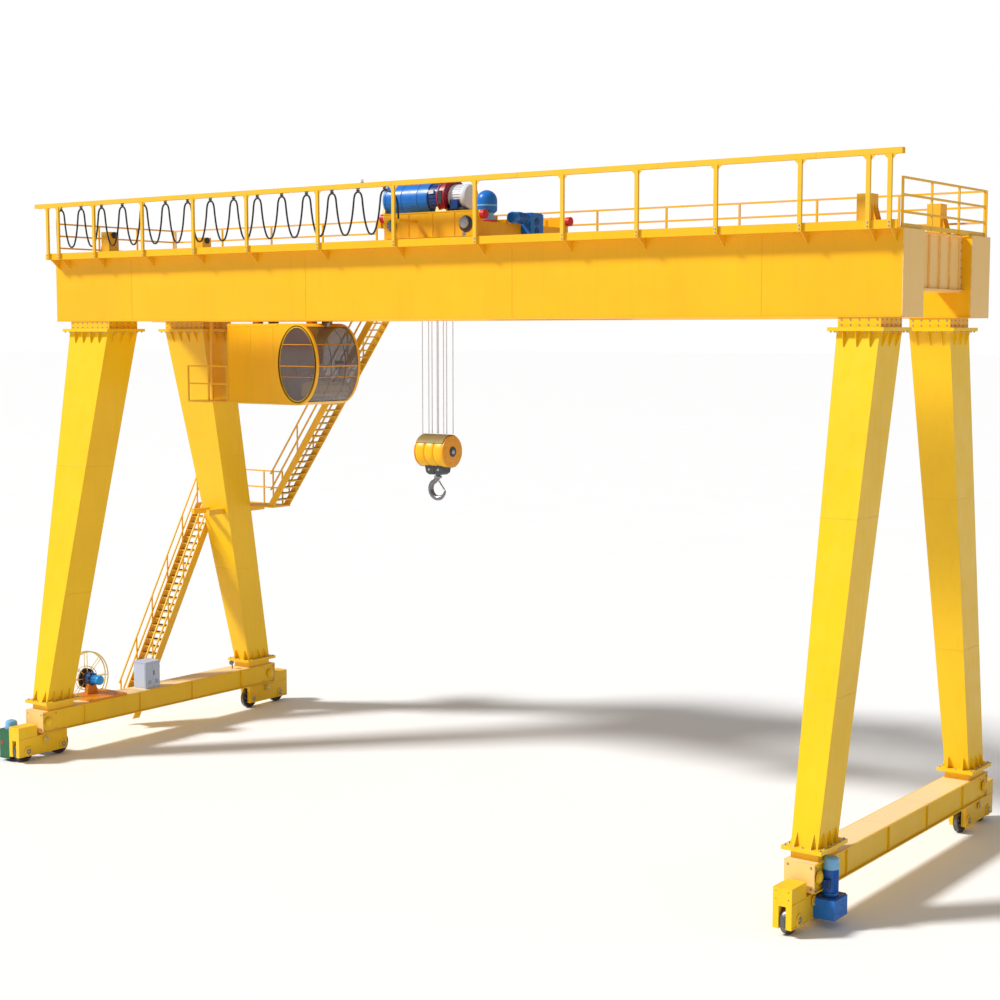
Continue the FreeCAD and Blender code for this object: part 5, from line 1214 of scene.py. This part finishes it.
def hook():
    """The forged hook: a round shank that swells through the bowl and tapers to the tip, with a latch."""
    centre = Vector((-0.82, 0, 7.90))
    bowl = 0.24
    path = [centre + Vector((0, 0, height)) for height in (0.535, 0.47, 0.40, 0.33)]
    radii = [0.062, 0.062, 0.058, 0.056]
    steps = 26
    start, finish = math.radians(96), math.radians(340)
    for step in range(steps + 1):
        share = step / steps
        a = start + (finish - start) * share
        reach = bowl * min(1.0, 0.35 + share * 4) if share < 0.16 else bowl
        rise = bowl if share > 0.1 else 0.27
        path.append(centre + Vector((reach * math.cos(a), 0, rise * math.sin(a))))
        swell = 0.019 * math.sin(math.pi * min(1, share * 1.15))
        taper = 0.026 * max(0, share - 0.8) / 0.2
        radii.append(0.056 + swell - taper)
    tip = path[-1]
    path += [tip + Vector((0.006, 0, 0.035)), tip + Vector((0.016, 0, 0.06))]
    radii += [0.024, 0.010]
    build = Build("forged", "steel", "zinc")
    build.sweep(path, radii, 24)
    nut = ((0, 0.07), (0.02, 0.105), (0.06, 0.105), (0.08, 0.085))
    build.use("steel").turned(centre + Vector((0, 0, 0.275)), UP, nut, 40)
    hinge = centre + Vector((0.035, 0, 0.205))
    end = centre + Vector((0.215, 0, -0.01))
    across = Vector((0, 0.028, 0))
    along = (end - hinge).normalized()
    thick = Vector((-along.z, 0, along.x)) * 0.006
    latch = [spot - across for spot in (hinge - thick, hinge + thick, end + thick, end - thick)]
    build.use("zinc").prism(latch, across * 2)
    build.rod(hinge - across * 1.5, hinge + across * 1.5, 0.014, 16)
    build.done("forged_hook", "hook", "hook_steel", replaces=("crane_hook",))


# ---------------------------------------------------------------- cab and stairs
CAB_MIDDLE = Vector((-6.335, 0, 11.105))


def oval(x_reach, z_reach, y, sides=64):
    steps = [math.tau * count / sides for count in range(sides)]
    return [(CAB_MIDDLE.x + x_reach * math.cos(a), y, CAB_MIDDLE.z + z_reach * math.sin(a)) for a in steps]


def oval_ring(build, x_reach, z_reach, wide, y0, y1):
    """A flat oval frame between two planes."""
    outlines = [
        oval(x_reach, z_reach, y0), oval(x_reach, z_reach, y1),
        oval(x_reach - wide, z_reach - wide, y1), oval(x_reach - wide, z_reach - wide, y0),
    ]
    rows = [[build.mesh.verts.new(point) for point in outline] for outline in outlines]
    build.skin([*rows, rows[0]])


def cab_fittings():
    """Oval rims, glazing bars, side trims, wiper and lamp on the operator's cab, and the door's trim."""
    low, high = node_box("cab_shell")
    build = Build("bright", "amber", "dark", "zinc", "grey", "lamp", "glass")
    x_reach, z_reach = 0.735, 1.10
    for y in (low.y, high.y - 0.05):
        oval_ring(build, x_reach, z_reach, 0.062, y, y + 0.05)
    build.use("amber")
    for level, wide in ((0.56, 0.028), (-0.05, 0.034), (-0.36, 0.016)):
        share = math.sqrt(1 - (level / z_reach) ** 2)
        chord = (x_reach - 0.05) * share
        bottom = CAB_MIDDLE.z + level - wide / 2
        for y in (low.y + 0.001, high.y - 0.011):
            build.box((CAB_MIDDLE.x - chord, y, bottom), (CAB_MIDDLE.x + chord, y + 0.01, bottom + wide))
        reach = CAB_MIDDLE.x + 0.762 * share
        build.box((reach - 0.03, low.y + 0.05, bottom), (reach + 0.004, high.y - 0.05, bottom + wide))
    build.use("dark")
    turns = [math.radians(-62 + 124 * step / 8) for step in range(9)]
    for y in (low.y + 0.62, high.y - 0.62):
        bar = [(CAB_MIDDLE.x + 0.755 * math.cos(a), y, CAB_MIDDLE.z + 1.085 * math.sin(a)) for a in turns]
        build.sweep(bar, 0.012, 8)
    wiper = Vector((CAB_MIDDLE.x + 0.70, low.y + 0.75, CAB_MIDDLE.z - 0.50))
    build.rod(wiper, wiper + Vector((0.062, 0.28, 0.44)), 0.009, 8)
    side_end, side_top = -7.06, 12.20
    build.use("bright")
    for z in (low.z + 0.02, side_top):
        build.box((low.x, low.y - 0.012, z), (side_end, low.y, z + 0.03))
    for x in spaced(low.x + 0.03, side_end - 0.2, 0.9):
        for y in (low.y - 0.008, high.y):
            build.box((x - 0.006, y, low.z + 0.05), (x + 0.006, y + 0.008, side_top))
    lamp = Vector((-6.0, 1.46, 12.245))
    build.use("grey").turned(lamp, (1, 0, -0.4), ((-0.09, 0.04), (0.0, 0.07), (0.05, 0.075)), 24)
    build.use("lamp").turned(lamp, (1, 0, -0.4), ((0.045, 0.066), (0.055, 0.05)), 24)
    build.done("cab_rims_and_bars", "gantry", "crane_yellow", 0.002)

    low, high = node_box("cab_door")
    door = Build("girder", "glass", "rubber", "zinc")
    face = low.x
    door.use("rubber").box((face - 0.006, low.y + 0.12, 11.05), (face + 0.002, high.y - 0.12, 11.80))
    door.use("glass").box((face - 0.010, low.y + 0.15, 11.08), (face - 0.005, high.y - 0.15, 11.77))
    door.use("girder").box((face - 0.006, low.y + 0.10, 10.12), (face + 0.002, high.y - 0.10, 10.92))
    handle, handle_y = (10.90, 11.12), low.y + 0.07
    door.use("zinc").rod((face - 0.05, handle_y, handle[0]), (face - 0.05, handle_y, handle[1]), 0.011, 12)
    for z in handle:
        door.rod((face, handle_y, z), (face - 0.05, handle_y, z), 0.009, 10)
    hinge = (face - 0.012, high.y - 0.005)
    for z in (10.3, 11.0, 11.65):
        door.rod((*hinge, z - 0.06), (*hinge, z + 0.06), 0.014, 12)
    door.done("cab_door_trim", "gantry", "crane_yellow", 0.003)


def cushion(name, centre, half, tilt, crown):
    """A crowned seat cushion whose sides pull in between its corners, with two sewn channels."""
    build = Build("vinyl")
    count = 18
    rows = []
    for layer in (-1, 1):
        grid = []
        for i in range(count + 1):
            row = []
            for j in range(count + 1):
                u, v = 2 * i / count - 1, 2 * j / count - 1
                pull = 1 - 0.05 * (1 - max(abs(u), abs(v)) ** 6) - 0.06 * (1 - min(abs(u), abs(v)) ** 2)
                swell = (1 - u ** 4) * (1 - v ** 4)
                seam = 0.16 * sum(math.exp(-((v - at) / 0.06) ** 2) for at in (-0.38, 0.38)) * swell
                z = layer * half[2] * (0.42 + crown * swell - seam)
                spot = Vector((u * half[0] * pull, v * half[1] * pull, z))
                spot.rotate(tilt)
                row.append(build.mesh.verts.new(centre + spot))
            grid.append(row)
        rows.append(grid)
    for grid in rows:
        for i in range(count):
            for j in range(count):
                build.face((grid[i][j], grid[i + 1][j], grid[i + 1][j + 1], grid[i][j + 1]))
    low, high = rows
    border = [(i, 0) for i in range(count)] + [(count, j) for j in range(count)]
    border += [(i, count) for i in range(count, 0, -1)] + [(0, j) for j in range(count, 0, -1)]
    for (i, j), (k, m) in zip(border, [*border[1:], border[0]]):
        build.face((low[i][j], low[k][m], high[k][m], high[i][j]))
    piece = build.done(name, "gantry", "seat_grey")
    smooth = piece.modifiers.new("smooth", "SUBSURF")
    smooth.levels = smooth.render_levels = 1
    return piece


def cab_interior():
    """The operator's seat on its pedestal, two side consoles with levers, a screen and the front desk."""
    boxes = islands("cab_seat_and_consoles")
    seat_low, seat_high = max(boxes, key=lambda pair: pair[1].z)
    middle = (seat_low + seat_high) / 2
    build = Build("grey", "dark", "white", "signal_red", "zinc", "green", "cream", "amber", "sky")
    pedestal = ((0, 0.24), (0.03, 0.24), (0.05, 0.09), (0.34, 0.07), (0.36, 0.16))
    knob = ((-0.01, 0.012), (0.01, 0.026), (0.035, 0.02))
    button = ((0, 0.018), (0.03, 0.016))
    build.use("dark").turned((middle.x, middle.y, seat_low.z), UP, pedestal, 32)
    left, near, far = seat_low.x, seat_low.y, seat_high.y
    build.box((left + 0.04, near + 0.05, 10.35), (seat_high.x - 0.02, far - 0.05, 10.39))
    build.box((left + 0.01, near + 0.12, 10.37), (left + 0.05, far - 0.12, 11.0))
    for low, high in [pair for pair in boxes if pair[1].z != seat_high.z]:
        top, y = high.z - 0.05, (low.y + high.y) / 2
        build.use("grey").box(low, (high.x, high.y, top))
        slope = ((low.x, top), (high.x, top), (high.x, high.z), (low.x, high.z - 0.02))
        build.use("dark").prism([(x, low.y, z) for x, z in slope], (0, high.y - low.y, 0))
        lever = (high.x - 0.13, y, high.z + 0.14)
        build.use("zinc").rod((high.x - 0.16, y, high.z - 0.03), lever, 0.009, 10)
        build.use("signal_red").turned(lever, UP, knob, 20)
        for count, look in enumerate(("green", "signal_red", "white", "white")):
            build.use(look).turned((high.x - 0.30 - count * 0.07, y, high.z - 0.035), UP, button, 16)
    build.use("dark").box((-5.98, 1.75, 10.95), (-5.95, 2.10, 11.20))
    build.rod((-5.965, 1.92, 10.3), (-5.965, 1.92, 10.96), 0.015, 12)
    shell_low, shell_high = node_box("cab_shell")
    desk = ((-6.30, 10.20), (-5.95, 10.20), (-5.86, 10.50), (-6.02, 10.62), (-6.30, 10.56))
    across = shell_high.y - shell_low.y - 0.30
    build.use("cream").prism([(x, shell_low.y + 0.15, z) for x, z in desk], (0, across, 0))
    looks = ("signal_red", "green", "white", "dark", "amber", "white", "dark", "sky")
    pitch = across / len(looks)
    for count, look in enumerate(looks):
        y = shell_low.y + 0.24 + count * pitch
        build.use(look).box((-6.20, y, 10.58), (-6.06, y + pitch * 0.6, 10.66))
        for z in (10.30, 10.38):
            build.use("dark").box((-5.945, y, z), (-5.90, y + 0.05, z + 0.03))
    build.done("cab_consoles", "gantry", "seat_grey", 0.006, replaces=("cab_seat_and_consoles",))
    flat = Matrix.Identity(3)
    lean = Matrix.Rotation(math.radians(78), 3, "Y")
    cushion("seat_cushion", Vector((middle.x + 0.01, middle.y, 10.45)), (0.25, 0.25, 0.075), flat, 0.58)
    cushion("seat_back", Vector((seat_low.x + 0.095, middle.y, 10.86)), (0.33, 0.24, 0.06), lean, 0.58)


def treads():
    """Nosings and grating bars on every stair tread."""
    nosing, bar, margin = 0.012, 0.006, 0.03
    for node in ("lower_stair_treads", "upper_stair_treads"):
        build = Build("grate", "dark")
        for low, high in islands(node):
            (x0, y0, z), (x1, y1, _) = (*low.xy, high.z), high
            build.use("grate")
            if x1 - x0 > y1 - y0:
                for y in (y0, y1 - nosing):
                    build.box((x0, y, z), (x1, y + nosing, z + 0.012))
                build.use("dark")
                for x in spaced(x0 + margin, x1 - margin, 0.05):
                    build.box((x, y0 + nosing, z), (x + bar, y1 - nosing, z + 0.008))
            else:
                for x in (x0, x1 - nosing):
                    build.box((x, y0, z), (x + nosing, y1, z + 0.012))
                build.use("dark")
                for y in spaced(y0 + margin, y1 - margin, 0.05):
                    build.box((x0 + nosing, y, z), (x1 - nosing, y + bar, z + 0.008))
        build.done(node.replace("treads", "gratings"), "gantry", "crane_yellow")


PARTS = (
    festoon, hoist_ropes, girder_fittings, end_plate_fittings, rail_fittings, festoon_frame_fittings,
    kick_strips, leg_fittings, head_fittings, sill_fittings, bogie_fittings, wheels, travel_drives, clamp,
    cabinet, reel, drum, brake, hoist_motor, thruster, trolley_drive, trolley_fittings, block, hook,
    cab_fittings, cab_interior, treads,
)
for make in PARTS:
    make()


# ---------------------------------------------------------------- camera, light and floor
def studio():
    """The camera, a low sun with soft edges, an even white surround and a pale floor."""
    scene = bpy.context.scene
    camera = bpy.data.objects.new("camera", bpy.data.cameras.new("camera"))
    camera.data.lens = 63.0
    camera.data.clip_end = 2000.0
    camera.location = (27.78, -35.99, 11.99)
    camera.rotation_euler = (math.radians(84.55), 0.0, math.radians(36.44))
    scene.collection.objects.link(camera)
    scene.camera = camera
    scene.view_settings.view_transform = "Standard"

    sun = bpy.data.objects.new("sun", bpy.data.lights.new("sun", "SUN"))
    sun.data.energy = 3.7
    sun.data.angle = math.radians(9)
    sun.data.color = (1.0, 0.99, 0.98)
    sun.rotation_euler = Vector((0.57, 0.50, -0.66)).to_track_quat("-Z", "Y").to_euler()
    scene.collection.objects.link(sun)

    world = bpy.data.worlds.new("surround")
    scene.world = world
    world.use_nodes = True
    tree = world.node_tree
    light = tree.nodes["Background"]
    light.inputs["Color"].default_value = (0.97, 0.985, 1.0, 1)
    light.inputs["Strength"].default_value = 0.35
    seen = tree.nodes.new("ShaderNodeBackground")
    seen.inputs["Strength"].default_value = 1.0
    seen.inputs["Color"].default_value = (1.0, 1.0, 1.0, 1)
    choice = tree.nodes.new("ShaderNodeMixShader")
    tree.links.new(tree.nodes.new("ShaderNodeLightPath").outputs["Is Camera Ray"], choice.inputs["Fac"])
    tree.links.new(light.outputs["Background"], choice.inputs[1])
    tree.links.new(seen.outputs["Background"], choice.inputs[2])
    tree.links.new(choice.outputs["Shader"], tree.nodes["World Output"].inputs["Surface"])

    material, tree, shader = new_material("pale_floor")
    tone = noise(tree, place(tree), 0.2, 3)
    tree.links.new(mixed(tree, tone, (0.91, 0.91, 0.91), (0.93, 0.93, 0.93)), shader.inputs["Base Color"])
    shader.inputs["Roughness"].default_value = 0.9
    mesh = bpy.data.meshes.new("floor")
    reach = 900.0
    corners = [(-reach, -reach, 0), (reach, -reach, 0), (reach, reach, 0), (-reach, reach, 0)]
    mesh.from_pydata(corners, [], [(0, 1, 2, 3)])
    mesh.materials.append(material)
    floor = bpy.data.objects.new("floor", mesh)
    scene.collection.objects.link(floor)


studio()
